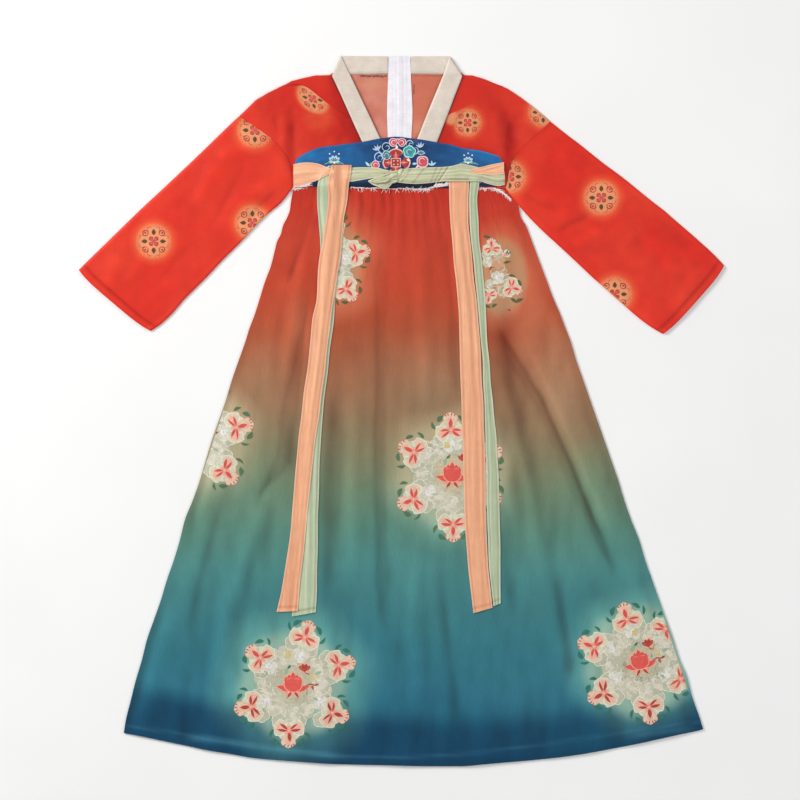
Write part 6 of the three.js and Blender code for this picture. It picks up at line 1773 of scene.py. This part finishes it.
def overlock():
    """Dark overlock stitches of the back neck seam and by the zip tape."""
    D = Drawing()
    g = np.random.RandomState(41)
    def at(px, py):
        return px - 401.0, 410.5 - py
    for k in range(24):
        px = 361 + k * 1.1
        D.put(1, "dark", T(line([(-0.6, -0.8), (0.0, 0.3), (0.5, 0.9)], 0.5), *at(px, 76.4 + g.uniform(-0.5, 0.5)), g.uniform(-0.5, 0.5), g.uniform(0.8, 1.5)))
    for k in range(9):
        D.put(1, "dark", T(line([(-0.6, -0.3), (0.8, 0.5)], 0.5), *at(413.6 + g.uniform(-0.3, 0.9), 84.5 + k * 1.2), g.uniform(-1, 1)))
    for k in range(16):
        D.put(1, "dark", T(line([(-0.5, -0.6), (0.5, 0.7)], 0.35), *at(414 + k * 2.0, 76.2 + g.uniform(-0.3, 0.3)), 0.2))
    return D.items

embroidery = film("embroidery_band", [(band_flower(), 401.0, 410.5, 1.0, [])], Surface(band), step=1.8, base=0.25, layer_step=0.06)
stitches = film("stitches_neck", [(overlock(), 401.0, 410.5, 1.0, [])], Surface(back_r, back_l, tape), step=1.8, base=0.2)

# ------------------------------------------------------------------ room, light, camera
def build_stage():
    bpy.ops.mesh.primitive_plane_add(size=8.0, location=(0, 0, -0.0004))
    floor = bpy.context.object
    floor.name = "floor"
    m = Mat("floor_paper", rough=0.9, spec=0.1, sheen=0.0)
    k = m.span(m.noise(220.0, 2.0), 0.3, 0.7, 0.93, 0.96)
    c = m.add("ShaderNodeCombineColor")
    for i in range(3):
        m.link(k, c.inputs[i])
    m.link(c.outputs[0], m.b.inputs["Base Color"])
    floor.data.materials.append(m.m)
    def area(name, loc, power, size, colour=(1, 1, 1)):
        d = bpy.data.lights.new(name, "AREA")
        d.energy, d.size, d.color = power, size, colour
        d.shape = "SQUARE"
        o = bpy.data.objects.new(name, d)
        o.location = loc
        o.rotation_euler = (Vector((0, 0, 0)) - Vector(loc)).to_track_quat("-Z", "Y").to_euler()
        bpy.context.scene.collection.objects.link(o)
    area("key", (-2.3, 1.5, 1.9), 74, 1.2, (1.0, 0.99, 0.97))
    area("fill", (2.4, 0.6, 2.2), 19, 1.6, (0.98, 0.99, 1.0))
    area("top", (0.2, -1.2, 3.0), 19, 2.2)
    world = bpy.data.worlds.new("studio")
    world.use_nodes = True
    world.node_tree.nodes["Background"].inputs[0].default_value = (1, 1, 1, 1)
    world.node_tree.nodes["Background"].inputs[1].default_value = 0.36
    bpy.context.scene.world = world
    cam = bpy.data.cameras.new("camera")
    cam.sensor_width, cam.lens = 36.0, 112.5
    cam.clip_start, cam.clip_end = 0.05, 60
    co = bpy.data.objects.new("camera", cam)
    co.location = (-0.0014, 0.0147, 3.5)
    co.rotation_euler = (0, 0, 0)
    bpy.context.scene.collection.objects.link(co)
    bpy.context.scene.camera = co
    bpy.context.scene.view_settings.view_transform = "Standard"
    bpy.context.scene.view_settings.look = "None"
build_stage()

# ------------------------------------------------------------------ who rides and replaces what
def declare(ob, node=None):
    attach(ob, "root")
    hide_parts(node or ob.name.replace("_cloth", ""))

declare(back_skirt)
for ob in prints:
    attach(ob, "root")
for ob in (pr_sleeve_r, pr_sleeve_l, pr_front_r, pr_front_l):
    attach(ob, "root")
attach(embroidery, "root")
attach(stitches, "root")
declare(front_skirt)
declare(back_r)
declare(back_l)
declare(front_r)
declare(front_l)
declare(sleeve_r)
declare(sleeve_l)
declare(tape)
declare(collar_r)
declare(collar_l)
declare(band)
declare(belt_pr)
declare(belt_gr)
declare(belt_gl)
declare(belt_pl)
declare(tie_gr)
declare(tie_pr)
declare(tie_pl)
declare(tie_gl)
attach(trim, "root")
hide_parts("band_trim")
